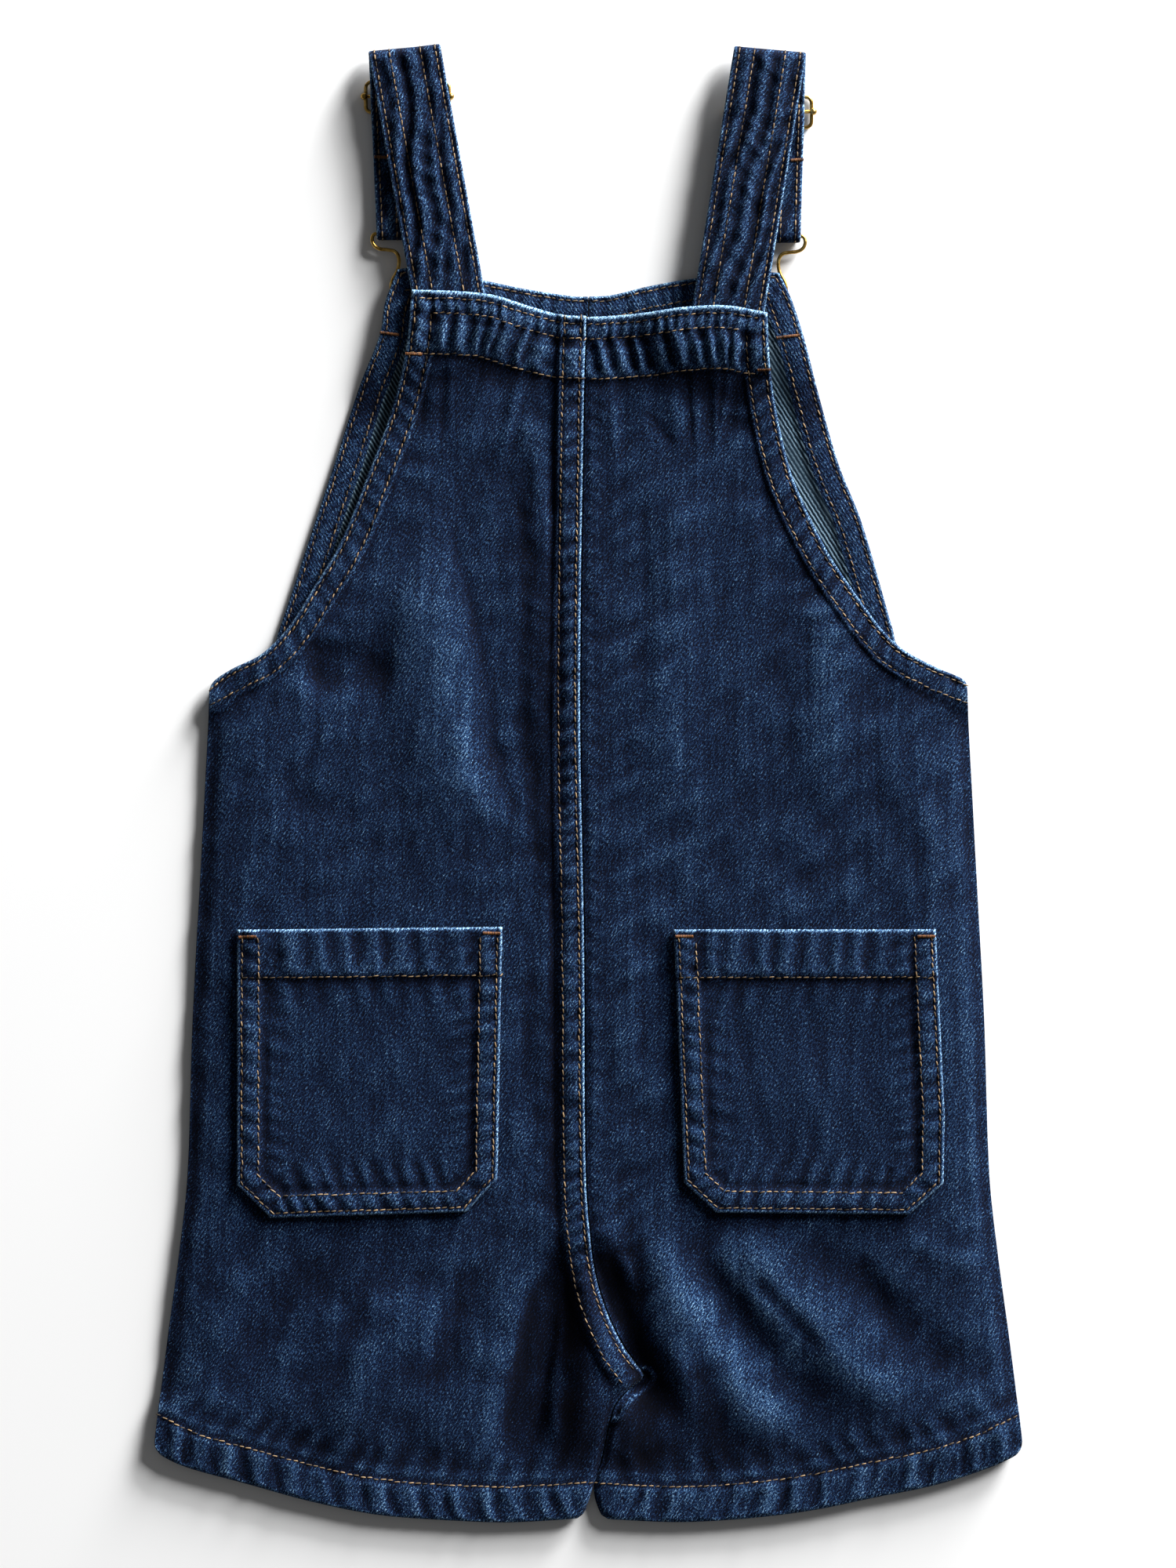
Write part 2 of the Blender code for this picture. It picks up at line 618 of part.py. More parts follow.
def slider(side):
    """Slide: a wire frame with rounded corners, and a ball-ended bar across it."""
    x, y = STRAPS[side][6], STRAPS[side][7]
    corner = 2.2
    points = []
    for sign_x, sign_y, start in ((1, 1, 0), (-1, 1, 90), (-1, -1, 180), (1, -1, 270)):
        centre = Vector((x + sign_x * (SLIDE_HALF_W - corner), y + sign_y * (SLIDE_HALF_H - corner),
                         FRAME_Z))
        for step in range(4):
            angle = math.radians(start + 30 * step)
            points.append(centre + Vector((math.cos(angle), math.sin(angle), 0)) * corner)
    bm = bmesh.new()
    tube(bm, points, WIRE / 2, 8)
    frame = finish("slider_" + side, bm, BRASS, 60.0, 1.0)
    bm = bmesh.new()
    bar = [Vector((x + share * BAR_HALF, y, BAR_Z)) for share in (-1.0, 1.0)]
    tube(bm, bar, WIRE / 2, 8, closed=False)
    bar_part = finish("bar_" + side, bm, BRASS, 60.0, 1.0)
    balls = []
    for sign in (-1, 1):
        bm = bmesh.new()
        bmesh.ops.create_uvsphere(bm, u_segments=10, v_segments=7, radius=BALL_R * MM)
        bmesh.ops.translate(bm, verts=bm.verts, vec=Vector((x + sign * BAR_HALF, y, BAR_Z)) * MM)
        balls.append(finish("ball_%s_%d" % (side, sign), bm, BRASS, 60.0, 1.0))
    # The frame's side wires stand up to the bar on two small blocks of solder
    for sign in (-1, 1):
        bm = bmesh.new()
        bmesh.ops.create_cube(bm, size=1.0)
        bmesh.ops.scale(bm, vec=Vector((1.0, 1.6, BAR_Z - FRAME_Z)) * MM, verts=bm.verts)
        place = Vector((x + sign * SLIDE_HALF_W, y, (BAR_Z + FRAME_Z) / 2)) * MM
        bmesh.ops.translate(bm, verts=bm.verts, vec=place)
        balls.append(finish("solder_%s_%d" % (side, sign), bm, BRASS, 60.0, 1.0))
    join_into(frame, [bar_part] + balls)
    return frame


def join_into(body, extras):
    """Fuse pieces into one body with a Boolean union each, and keep the pieces as cutters."""
    for extra in extras:
        union = body.modifiers.new(extra.name, "BOOLEAN")
        union.operation = "UNION"
        union.object = extra
        extra.hide_render = True
        extra.display_type = "WIRE"


def button(side):
    """Bib button, head down: a turned head with a rolled rim, and its shank up to the bib."""
    x = STRAPS[side][4]
    profile = [(0.0, 0.0), (5.6, 0.0), (7.2, 0.3), (BUTTON_R, 0.9), (7.6, BUTTON_HEAD),
               (SHANK_R + 0.5, BUTTON_HEAD), (SHANK_R, BUTTON_HEAD + 0.3),
               (SHANK_R, BIB_LIFT - GAP), (0.0, BIB_LIFT - GAP)]
    steps = 20
    bm = bmesh.new()
    rings = []
    for radius, height in profile:
        if radius == 0.0:
            rings.append([bm.verts.new(Vector((x, BUTTON_Y, height)) * MM)])
            continue
        ring = []
        for step in range(steps):
            angle = 2 * math.pi * step / steps
            ring.append(bm.verts.new(Vector((x + radius * math.cos(angle),
                                             BUTTON_Y + radius * math.sin(angle), height)) * MM))
        rings.append(ring)
    for ring, following in zip(rings, rings[1:]):
        for step in range(steps):
            other = (step + 1) % steps
            if len(ring) == 1:
                bm.faces.new((ring[0], following[step], following[other]))
            elif len(following) == 1:
                bm.faces.new((ring[step], ring[other], following[0]))
            else:
                bm.faces.new((ring[step], ring[other], following[other], following[step]))
    return finish("button_" + side, bm, BRASS, 40.0, 1.0)


def shifted(rows, dx, dy):
    return tuple((share, x + dx, y + dy) for share, x, y in rows)


def main():
    for item in list(bpy.data.objects):
        bpy.data.objects.remove(item, do_unlink=True)

    right_seam = RIGHT_NOTCH + shifted(BACK_SEAM[len(RIGHT_NOTCH):], SEAM_OFFSET, -0.2)
    back_half("back_left", BACK_OUTER_LEFT, BACK_SEAM, HEM_LEFT, BAND_LEFT, True)
    back_half("back_right", BACK_OUTER_RIGHT, right_seam, HEM_RIGHT, BAND_RIGHT, False)

    hem_left = tuple((x, y + 0.8) for x, y in HEM_LEFT)
    hem_right = tuple((x, y + 0.8) for x, y in HEM_RIGHT)
    right_front_seam = FRONT_NOTCH + shifted(FRONT_SEAM[len(FRONT_NOTCH):], SEAM_OFFSET, 0.0)
    front_half("front_left", FRONT_OUTER_LEFT, FRONT_SEAM, hem_left, BIB_LEFT)
    front_half("front_right", FRONT_OUTER_RIGHT, right_front_seam, hem_right, BIB_RIGHT)

    pocket("pocket_left", POCKET_LEFT_OUTER, POCKET_LEFT_INNER)
    pocket("pocket_right", POCKET_RIGHT_OUTER, POCKET_RIGHT_INNER)

    for side in STRAPS:
        strap(side)
        hook(side)
        slider(side)
        button(side)


main()
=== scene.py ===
"""Looks of the denim shortalls: washed cloth, stitches, brass, floor, light and camera.

The cloth pieces repeat the cut of the solids with closer points, and add the puckers, the stitch
furrows and the wear of a garment that was washed after sewing, with painted shade and painted
light in the cloth's tone. Lengths are in millimetres until a mesh is made, which is in metres.
"""
import math
import bmesh
import bpy
import numpy as np
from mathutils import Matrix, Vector
from mathutils.bvhtree import BVHTree


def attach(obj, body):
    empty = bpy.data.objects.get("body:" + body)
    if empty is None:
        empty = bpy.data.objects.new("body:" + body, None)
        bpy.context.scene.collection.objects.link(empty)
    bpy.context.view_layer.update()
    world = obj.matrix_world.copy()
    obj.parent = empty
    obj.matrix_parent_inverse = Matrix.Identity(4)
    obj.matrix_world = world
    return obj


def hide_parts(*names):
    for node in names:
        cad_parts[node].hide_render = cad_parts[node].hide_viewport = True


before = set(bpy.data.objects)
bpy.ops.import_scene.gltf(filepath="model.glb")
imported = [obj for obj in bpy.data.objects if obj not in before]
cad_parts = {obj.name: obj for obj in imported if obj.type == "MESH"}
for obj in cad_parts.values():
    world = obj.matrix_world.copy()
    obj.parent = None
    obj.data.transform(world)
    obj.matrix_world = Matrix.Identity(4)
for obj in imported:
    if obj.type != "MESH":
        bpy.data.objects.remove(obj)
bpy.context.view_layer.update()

bpy.ops.object.select_all(action="DESELECT")

MM = 0.001

# Cloth, as the solids have it
CLOTH = 1.1
TURNED = 0.9
PANEL_GAP = 0.6
LEG_HEM = 13.6
ARM_HEM = 9.4
FACING = 24.0
BIB_HEM = 10.5
SEAM_LAP = 9.4
SEAM_OFFSET = 0.5
CROWN = 1.5
CROWN_REACH = 22.0
CROWN_FOOT = -268.0    # where the crown starts above the leg hem
CROWN_RAMP = 30.0
CROWN_FADE = 10.0      # where it starts to flatten towards the armholes, over how far and how much
CROWN_FADE_REACH = 90.0
CROWN_LOSS = 0.8
SIDE_HALF = 145.0      # half width at the underarm
SIDE_FLARE = 22.0      # how much more it is at the hem
SIDE_TOP = 37.0
SIDE_LENGTH = 291.0
SIDE_DROP = 1.2
SIDE_REACH = 7.0
FOLDS_FOOT = -276.0    # where the folds start above the leg hem
FOLDS_RAMP = 22.0
FOLD_ENDS = 0.25       # share of its length over which a fold rises, and again dies away
DEEPEST = 0.5          # how far a trough may sink below the uncrowned cloth
POCKET_CLEAR = 0.5
POCKET_HEM = 18.4
POCKET_TURN = 8.4
UNDERARM = 0.687       # share of the outer edge where the side ends and the armhole begins
CROTCH = 0.118         # share of the inner edge where the inseam ends and the seam begins
FRONT_HEM_RISE = 0.8   # how far the front's leg hem is set back from the back's

# Cloth, in the looks alone
SEAM_LOOK = 1.5        # height of the lap's edge
LIP_START = 0.094      # share of the inner edge where the right leg's lip begins
THINNEST = 0.35        # what is left of the cloth at its folded edges

# Straps, buttons and brass wire, as the solids have them
STRAP_W = 27.6
STRAP_T = 1.6
STRAP_Z = 7.0
STRAP_TUCK = 5.5       # how far a strap's end goes behind the band
STRAP_OVER = 8.25
STRAP_REACH = 26.0
WIRE = 1.4
HOOK_Z = 2.65
EYE_HALF = 9.5
BIB_LIFT = 3.65        # how far the hooks and buttons lift the bib, fading out over the reach
LIFT_REACH = 30.0
BUTTON_R = 8.0
BUTTON_Y = 180.0
BUTTON_RIM_Z = 0.55
BUTTON_PROUD = 0.5     # how far the middle of the head stands below its rim
SHANK_R = 2.3

# Sewing
STITCH_PITCH = 2.65    # from one stitch to the next
STITCH_LENGTH = 2.2
THREAD = 0.54          # width of a stitch
PRESSED = 0.30         # how far the underside's stitches are pressed into the cloth
ROW_NEAR = 1.9         # first row from a folded edge
ROW_FAR = 8.3          # second row, a quarter inch on
BAND_NEAR = ROW_NEAR + 1.2
BAND_FAR = ROW_FAR + 0.4
STRAP_FAR = ROW_FAR - 0.6
PAST_SIDE = 14.0       # a hem's row is carried on past its ends, to the side and the inseam
POCKET_CUT = 2.4       # the rows round a pocket stop this far short of its top
BARTACK_PITCH = 0.33   # from one thread of a bar to the next
BARTACK_THREAD = 0.46
BARTACK_LEAN = 0.09    # the zigzag's slope
BARTACK_RISE = 0.2

# How finely the cloth is divided: across and along, over the length of each piece
PITCH = 1.45
FRONT_PITCH = 2.4
STRAP_PITCH = 1.0
STRAP_STEP = 0.9
BACK_LENGTH = 460.0
FRONT_LENGTH = 466.0
POCKET_LENGTH = 110.0
EDGE_STEPS = (0.0, 0.25, 0.6, 1.0, 1.5, 2.2, 3.0)
EDGE_POINTS = 500      # points of a line that distances are taken to
SIDE_POINTS = 80       # points of each side of a mitred line

# Outer edges from the leg hem up to the band or bib: share of the way, x, y
BACK_OUTER_LEFT = (
    (0.000, -166.6, -255.8),
    (0.037, -164.8, -240.0),
    (0.107, -161.0, -210.0),
    (0.178, -156.9, -180.0),
    (0.248, -153.7, -150.0),
    (0.389, -151.7, -90.0),
    (0.529, -148.5, -30.0),
    (0.675, -145.2, 32.0),
    (0.687, -144.8, 37.2),
    (0.694, -142.7, 40.1),
    (0.708, -136.4, 44.1),
    (0.735, -125.0, 49.8),
    (0.765, -114.8, 60.2),
    (0.795, -105.5, 75.0),
    (0.828, -95.3, 92.1),
    (0.883, -82.4, 124.2),
    (0.911, -76.4, 140.4),
    (0.955, -70.0, 164.4),
    (1.000, -67.4, 188.7),
)
BACK_OUTER_RIGHT = (
    (0.000, 166.6, -255.8),
    (0.037, 164.8, -240.0),
    (0.107, 161.0, -210.0),
    (0.178, 156.9, -180.0),
    (0.248, 153.7, -150.0),
    (0.389, 151.7, -90.0),
    (0.529, 148.5, -30.0),
    (0.675, 145.2, 32.0),
    (0.687, 144.7, 38.4),
    (0.694, 142.7, 40.6),
    (0.708, 133.0, 44.7),
    (0.735, 120.3, 51.6),
    (0.765, 111.2, 60.7),
    (0.795, 100.8, 75.0),
    (0.828, 91.0, 90.0),
    (0.883, 79.0, 115.4),
    (0.911, 74.0, 133.0),
    (0.955, 69.6, 157.8),
    (1.000, 68.3, 180.0),
)
FRONT_OUTER_LEFT = (
    (0.000, -165.6, -255.0),
    (0.037, -164.2, -240.0),
    (0.107, -160.4, -210.0),
    (0.178, -156.3, -180.0),
    (0.248, -153.1, -150.0),
    (0.389, -151.1, -90.0),
    (0.529, -147.9, -30.0),
    (0.675, -144.6, 32.0),
    (0.687, -144.2, 36.6),
    (0.694, -141.9, 39.2),
    (0.708, -135.8, 43.0),
    (0.735, -122.3, 51.4),
    (0.765, -118.4, 60.0),
    (0.835, -105.0, 100.2),
    (0.880, -97.0, 124.2),
    (0.932, -87.8, 152.4),
    (0.968, -79.7, 172.5),
    (0.985, -77.8, 184.5),
    (1.000, -73.0, 197.0),
)
FRONT_OUTER_RIGHT = (
    (0.000, 165.6, -255.0),
    (0.037, 164.2, -240.0),
    (0.107, 160.4, -210.0),
    (0.178, 156.3, -180.0),
    (0.248, 153.1, -150.0),
    (0.389, 151.1, -90.0),
    (0.529, 147.9, -30.0),
    (0.675, 144.6, 32.0),
    (0.687, 144.1, 37.8),
    (0.694, 141.9, 39.8),
    (0.708, 132.4, 43.6),
    (0.735, 119.4, 52.4),
    (0.765, 116.6, 60.0),
    (0.835, 104.9, 100.2),
    (0.880, 95.9, 123.0),
    (0.932, 87.6, 152.0),
    (0.968, 82.4, 171.3),
    (0.985, 77.6, 186.0),
    (1.000, 73.0, 195.6),
)
# Inner edges from the leg hem up: the left leg's, and what differs low on the right leg
BACK_SEAM = (
    (0.000, -4.2, -281.4),
    (0.008, -1.6, -279.0),
    (0.026, 1.6, -270.0),
    (0.052, 5.0, -258.0),
    (0.098, 9.8, -237.5),
    (0.106, 14.6, -232.0),
    (0.118, 20.9, -227.1),
    (0.130, 17.9, -221.7),
    (0.142, 13.7, -215.7),
    (0.168, 7.7, -203.7),
    (0.197, 3.2, -190.2),
    (0.226, 1.0, -176.7),
    (0.283, -1.0, -150.0),
    (0.477, -1.7, -60.0),
    (0.670, -3.2, 30.0),
    (0.935, -1.7, 150.0),
    (1.000, -0.8, 179.1),
)
RIGHT_NOTCH = ((0.000, 7.4, -281.6), (0.008, 4.6, -279.4))
FRONT_SEAM = (
    (0.000, -5.4, -280.4),
    (0.026, 0.2, -268.5),
    (0.052, 2.2, -258.0),
    (0.130, 1.4, -222.0),
    (0.283, -0.2, -150.0),
    (1.000, -0.2, 187.0),
)
FRONT_NOTCH = ((0.000, 8.6, -280.4), (0.026, 3.6, -269.5))
# Edges that run across, as places between the outer edge and the seam
HEM_LEFT = ((-155.0, -261.3), (-130.4, -268.2), (-105.5, -275.0), (-80.6, -279.9),
            (-55.7, -281.9), (-30.9, -282.8))
HEM_RIGHT = ((155.0, -261.3), (134.0, -268.2), (109.2, -273.4), (84.4, -278.4),
             (59.5, -281.4), (34.6, -282.7))
BAND_LEFT = ((-39.5, 187.2), (-22.0, 182.6), (-8.9, 179.4))
BAND_RIGHT = ((53.0, 182.6), (36.8, 182.1), (22.0, 180.3), (6.0, 179.1))
BIB_LEFT = ((-69.0, 197.5), (-39.5, 192.9), (-24.6, 190.0), (-6.0, 187.1))
BIB_RIGHT = ((69.0, 195.9), (38.9, 193.6), (23.4, 191.0), (8.6, 187.5))
# Pocket edges from the bottom up, with the cut-off corner: share of the way, x, y
POCKET_LEFT_OUTER = ((0.0, -121.4, -165.9), (0.12, -134.4, -153.3), (1.0, -134.3, -55.7))
POCKET_LEFT_INNER = ((0.0, -46.7, -163.7), (0.12, -34.7, -151.0), (1.0, -32.9, -54.6))
POCKET_RIGHT_OUTER = ((0.0, 122.6, -164.6), (0.12, 135.8, -152.6), (0.4, 136.2, -126.0),
                      (1.0, 132.8, -55.5))
POCKET_RIGHT_INNER = ((0.0, 48.8, -163.9), (0.12, 36.5, -152.4), (1.0, 32.6, -55.6))

# Soft folds, as the solids have them: each runs through three places
FOLDS = (
    # x0, y0, x1, y1, x2, y2, half width, height
    (-43.0, 134.0, -35.0, 60.0, -31.0, -20.0, 13.0, -2.0),
    (-68.0, 100.0, -57.0, 34.0, -50.0, -30.0, 15.0, 1.6),
    (-112.0, 40.0, -92.0, 44.0, -70.0, 40.0, 11.0, -1.3),
    (91.0, 78.0, 92.0, 40.0, 88.0, -8.0, 12.0, 1.2),
    (34.0, 130.0, 30.0, 60.0, 26.0, -20.0, 15.0, 0.9),
    (-7.0, -172.0, -18.0, -216.0, -31.0, -262.0, 9.0, -2.2),
    (8.0, -166.0, 22.0, -206.0, 34.0, -252.0, 8.0, -2.6),
    (16.0, -160.0, 44.0, -214.0, 74.0, -256.0, 10.0, 2.2),
    (32.0, -166.0, 65.0, -212.0, 98.0, -254.0, 9.0, -1.2),
    (46.0, -168.0, 86.0, -208.0, 126.0, -246.0, 10.0, 1.8),
    (76.0, -168.0, 117.0, -204.0, 150.0, -236.0, 9.0, -1.2),
    (-60.0, -190.0, -84.0, -224.0, -104.0, -258.0, 14.0, 1.3),
    (-92.0, -176.0, -122.0, -206.0, -142.0, -236.0, 12.0, -0.9),
)
# Smaller creases of the back, which only the looks have
CREASES = (
    # x0, y0, x1, y1, x2, y2, half width, height
    (-27.0, 40.0, -22.0, 4.0, -19.0, -40.0, 4.0, -0.7),
    (-38.0, 22.0, -32.0, 0.0, -25.0, -16.0, 3.0, -0.45),
    (-50.0, 30.0, -46.0, 4.0, -36.0, -20.0, 5.0, 0.6),
    (-82.0, 56.0, -92.0, 60.0, -106.0, 56.0, 7.0, 0.35),
    (-74.0, 44.0, -92.0, 50.0, -114.0, 42.0, 9.0, -0.35),
    (-118.0, 8.0, -112.0, -6.0, -96.0, -14.0, 6.0, -0.6),
    (20.0, 146.0, 27.0, 136.0, 34.0, 128.0, 2.0, -0.4),
    (-26.0, 150.0, -20.0, 120.0, -15.0, 80.0, 4.5, 0.8),
    (-14.0, 150.0, -11.5, 60.0, -10.5, -40.0, 2.4, -1.0),
    (-12.0, -20.0, -11.5, -90.0, -11.0, -170.0, 2.4, -0.8),
    (60.0, 120.0, 64.0, 90.0, 66.0, 60.0, 8.0, 0.5),
    (112.0, 30.0, 116.0, 10.0, 120.0, -10.0, 8.0, 0.5),
    (24.0, 120.0, 20.0, 60.0, 22.0, 0.0, 6.0, -0.5),
    (128.0, 0.0, 132.0, -20.0, 136.0, -46.0, 6.0, 0.6),
    (12.0, -40.0, 15.0, -80.0, 12.0, -130.0, 5.0, 0.5),
    (-22.0, -60.0, -24.0, -100.0, -18.0, -150.0, 5.0, -0.6),
    # The stack of seams at the crotch, and the valleys on either side of it
    (-3.0, -176.0, 1.0, -214.0, -3.0, -264.0, 7.0, 2.0),
    (-17.0, -186.0, -22.0, -222.0, -26.0, -266.0, 6.0, -1.8),
    (-9.0, -196.0, -13.0, -226.0, -13.0, -256.0, 2.0, 0.9),
    (0.0, -160.0, 21.0, -196.0, 48.0, -258.0, 7.0, 2.5),
    (1.0, -172.0, 15.0, -209.0, 24.0, -256.0, 6.0, -2.4),
    (60.0, -186.0, 74.0, -200.0, 92.0, -220.0, 3.0, -0.8),
    (44.0, -176.0, 62.0, -196.0, 84.0, -232.0, 5.0, 0.9),
    (100.0, -176.0, 112.0, -196.0, 122.0, -226.0, 4.5, -0.6),
    (120.0, -172.0, 134.0, -180.0, 152.0, -184.0, 5.0, 0.7),
    (-40.0, -178.0, -52.0, -204.0, -58.0, -240.0, 7.0, -0.8),
    (-76.0, -186.0, -84.0, -210.0, -92.0, -246.0, 6.0, 0.7),
    (-130.0, -180.0, -138.0, -200.0, -144.0, -226.0, 6.0, 0.6),
)
FOLD_LOOK = 1.35       # the folds stand this much higher in the looks
LOWEST_CREASE = 1.7    # where a crease of the back comes down to the front half
# Painted shade in the folds by the crotch and seam, and painted light on lit ridges, partly as wash
# fading: these run as the creases do, and their last column is a change of tone
FADES_PAINTED_SHADE_AND_LIGHT = (
    # x0, y0, x1, y1, x2, y2, half width, change
    (-3.0, -178.0, -4.0, -222.0, -5.0, -270.0, 8.0, -0.55),
    (-20.0, -190.0, -25.0, -226.0, -29.0, -266.0, 7.0, -0.20),
    (0.0, -160.0, 15.0, -203.0, 32.0, -246.0, 7.0, -0.36),
    (13.0, -230.0, 18.0, -246.0, 26.0, -266.0, 12.0, -0.48),
    (36.0, -216.0, 44.0, -238.0, 54.0, -268.0, 6.0, -0.26),
    (-26.0, 130.0, -18.0, 50.0, -17.0, -60.0, 7.0, -0.20),
    (-14.0, -60.0, -14.0, -120.0, -10.0, -180.0, 5.0, -0.16),
    (6.0, 150.0, 4.0, 40.0, 4.0, -100.0, 4.0, -0.08),
    (-116.0, 34.0, -96.0, 50.0, -72.0, 40.0, 15.0, -0.03),
    (-146.0, 20.0, -150.0, -90.0, -160.0, -220.0, 12.0, -0.10),
    (-66.0, 104.0, -54.0, 34.0, -46.0, -30.0, 19.0, 0.07),
    (38.0, -176.0, 62.0, -212.0, 90.0, -248.0, 20.0, 0.16),
    (-104.0, -150.0, -98.0, -210.0, -90.0, -268.0, 45.0, -0.07),
    (92.0, 74.0, 92.0, 40.0, 90.0, -4.0, 12.0, 0.07),
    (26.0, 100.0, 28.0, 20.0, 26.0, -80.0, 12.0, 0.05),
    (152.0, 30.0, 156.0, -90.0, 162.0, -220.0, 6.0, 0.12),
    (-100.0, -190.0, -112.0, -210.0, -122.0, -240.0, 16.0, 0.06),
)
CROTCH_X = 16.0
CROTCH_Y = -222.0
CROTCH_RISE = 3.4
CROTCH_REACH = 34.0

# Puckers along the lines of a piece, in rows of: line, slant, draw (added to the piece's seed),
# pitch, where they start and end beside the line, softness of those ends, height
BACK_PUCKERS = (
    ("leg", 0.3, 1, 11.0, 1.0, LEG_HEM, 1.2, 0.55),
    ("leg", 0.6, 20, 5.0, 0.6, LEG_HEM - 2, 1.2, 0.2475),
    ("arm", 0.5, 2, 6.0, 1.6, ARM_HEM, 1.2, 0.45),
    ("top", -0.2, 3, 4.6, 2.6, 9.0, 1.2, 0.52),
    ("top", 0.15, 4, 7.0, 9.0, FACING - 2, 3.0, 1.15),
    ("seam", -0.5, 6, 11.0, SEAM_LAP + 1, 22.0, 6.0, 0.14),
    ("leg", -0.4, 7, 10.0, LEG_HEM + 1, 26.0, 6.0, 0.38),
    ("arm", -0.3, 21, 12.0, ARM_HEM + 1, 22.0, 6.0, 0.25),
    ("top", 0.0, 23, 11.0, FACING + 2, 52.0, 24.0, 0.42),
)
FRONT_PUCKERS = (
    ("arm", 0.5, 1, 6.5, 1.6, ARM_HEM, 1.2, 0.34),
    ("top", 0.0, 2, 6.0, 1.0, BIB_HEM, 1.2, 0.34),
)
POCKET_PUCKERS = (
    ("top", -0.1, 2, 10.0, 1.0, POCKET_HEM - 1, 3.0, 0.50),
    ("top", 0.4, 5, 5.0, 10.0, POCKET_HEM - 1, 4.0, 0.25),
    ("top", -0.2, 6, 9.0, POCKET_HEM + 1, 30.0, 5.0, 0.30),
)

STRAPS = {
    # middle of each strap at the band, at the turn, on the hook and on the slide
    "left": {"band": (-53.6, 188.0), "top": (-70.5, 281.7),
             "hook": (-67.3, 210.9), "slide": (-69.4, 263.5)},
    "right": {"band": (53.5, 181.5), "top": (69.6, 281.1),
              "hook": (67.5, 209.9), "slide": (69.6, 257.7)},
}
SLIDE_HALF_W = 16.0
SLIDE_HALF_H = 5.8
SLIDE_CORNER = 2.2
BAR_HALF = 16.6
BALL_R = 1.35
POST_R = 0.75
FRAME_Z = 1.0
BAR_Z = 2.62
# Right half of the hook's wire, from the middle of its bar to its eye
HOOK_WIRE = ((0.0, 0.0), (7.0, 0.0), (13.6, 0.0), (14.9, -0.3), (15.5, -1.4), (15.5, -3.0),
             (14.5, -4.8), (12.6, -5.8), (9.4, -6.2), (6.8, -6.9), (5.5, -8.8), (5.3, -11.4),
             (6.0, -14.4), (7.6, -17.4), (8.3, -20.6), (7.4, -24.0), (5.2, -27.2), (3.7, -29.6),
             (3.4, -31.6))


# Curves and heights

def ease(share):
    """0 to 1 with soft ends."""
    share = np.clip(share, 0.0, 1.0)
    return share * share * (3.0 - 2.0 * share)


def along(rows, share, curved=True):
    """Points at shares of the way through rows of (share, x, y), on a smooth or straight course."""
    rows = np.array(rows, dtype=float)
    share = np.asarray(share, dtype=float)
    last = len(rows) - 1
    index = np.clip(np.searchsorted(rows[:, 0], share, side="left") - 1, 0, last - 1)
    start, end = rows[index], rows[index + 1]
    before, after = rows[np.maximum(index - 1, 0)], rows[np.minimum(index + 2, last)]
    span = end[..., :1] - start[..., :1]
    t = (share[..., None] - start[..., :1]) / span
    if not curved:
        return start[..., 1:] + (end[..., 1:] - start[..., 1:]) * t
    leave = (end[..., 1:] - before[..., 1:]) / (end[..., :1] - before[..., :1]) * span
    arrive = (after[..., 1:] - start[..., 1:]) / (after[..., :1] - start[..., :1]) * span
    return ((2 * t ** 3 - 3 * t ** 2 + 1) * start[..., 1:] + (t ** 3 - 2 * t ** 2 + t) * leave
            + (3 * t ** 2 - 2 * t ** 3) * end[..., 1:] + (t ** 3 - t ** 2) * arrive)


def across(start, middle, end):
    """Rows for an edge that runs across, its share measured in x."""
    points = (tuple(start),) + tuple(middle) + (tuple(end),)
    return tuple(((x - start[0]) / (end[0] - start[0]), x, y) for x, y in points)


def directions(points):
    """Direction of a line at each of its points."""
    ahead = np.gradient(points, axis=0)
    return ahead / np.linalg.norm(ahead, axis=1)[:, None]


def distances_along(points):
    """How far along a line each of its points lies."""
    return np.concatenate(([0.0], np.cumsum(np.linalg.norm(np.diff(points, axis=0), axis=1))))


class Edge:
    """A line on the cloth, with the distance to it and the place along it for any point."""

    def __init__(self, points):
        self.points = points
        self.ahead = directions(points)
        self.run = distances_along(points)

    def near(self, x, y):
        """Distance to the line, and place along it, for grids of points."""
        last = len(self.run) - 1
        half_step = self.run[-1] / last * 0.55    # a little over half, to leave no gap at a bend
        distance = np.empty(x.shape)
        place = np.empty(x.shape)
        for row in range(x.shape[0]):
            gap = np.hypot(x[row][:, None] - self.points[None, :, 0],
                           y[row][:, None] - self.points[None, :, 1])
            nearest = gap.argmin(axis=1)
            dx = x[row] - self.points[nearest, 0]
            dy = y[row] - self.points[nearest, 1]
            ahead_x, ahead_y = self.ahead[nearest, 0], self.ahead[nearest, 1]
            slide = np.clip(dx * ahead_x + dy * ahead_y, np.where(nearest > 0, -half_step, 0.0),
                            np.where(nearest < last, half_step, 0.0))
            distance[row] = np.hypot(dx - slide * ahead_x, dy - slide * ahead_y)
            place[row] = self.run[nearest] + slide
        return distance, place

    def inset(self, distance, start=0.0, end=0.0):
        """The line moved aside towards the cloth, cut back at its ends."""
        aside = np.stack((-self.ahead[:, 1], self.ahead[:, 0]), axis=1)
        kept = (self.run >= start) & (self.run <= self.run[-1] - end)
        return (self.points + aside * distance)[kept]


def carried_on(line, length, both=True):
    """A line taken straight on before its start, and after its end too where both are wanted."""
    start, end = line[0] - line[1], line[-1] - line[-2]
    start *= length / np.linalg.norm(start)
    end *= length / np.linalg.norm(end)
    longer = np.concatenate(([line[0] + start], line))
    return np.concatenate((longer, [line[-1] + end])) if both else longer


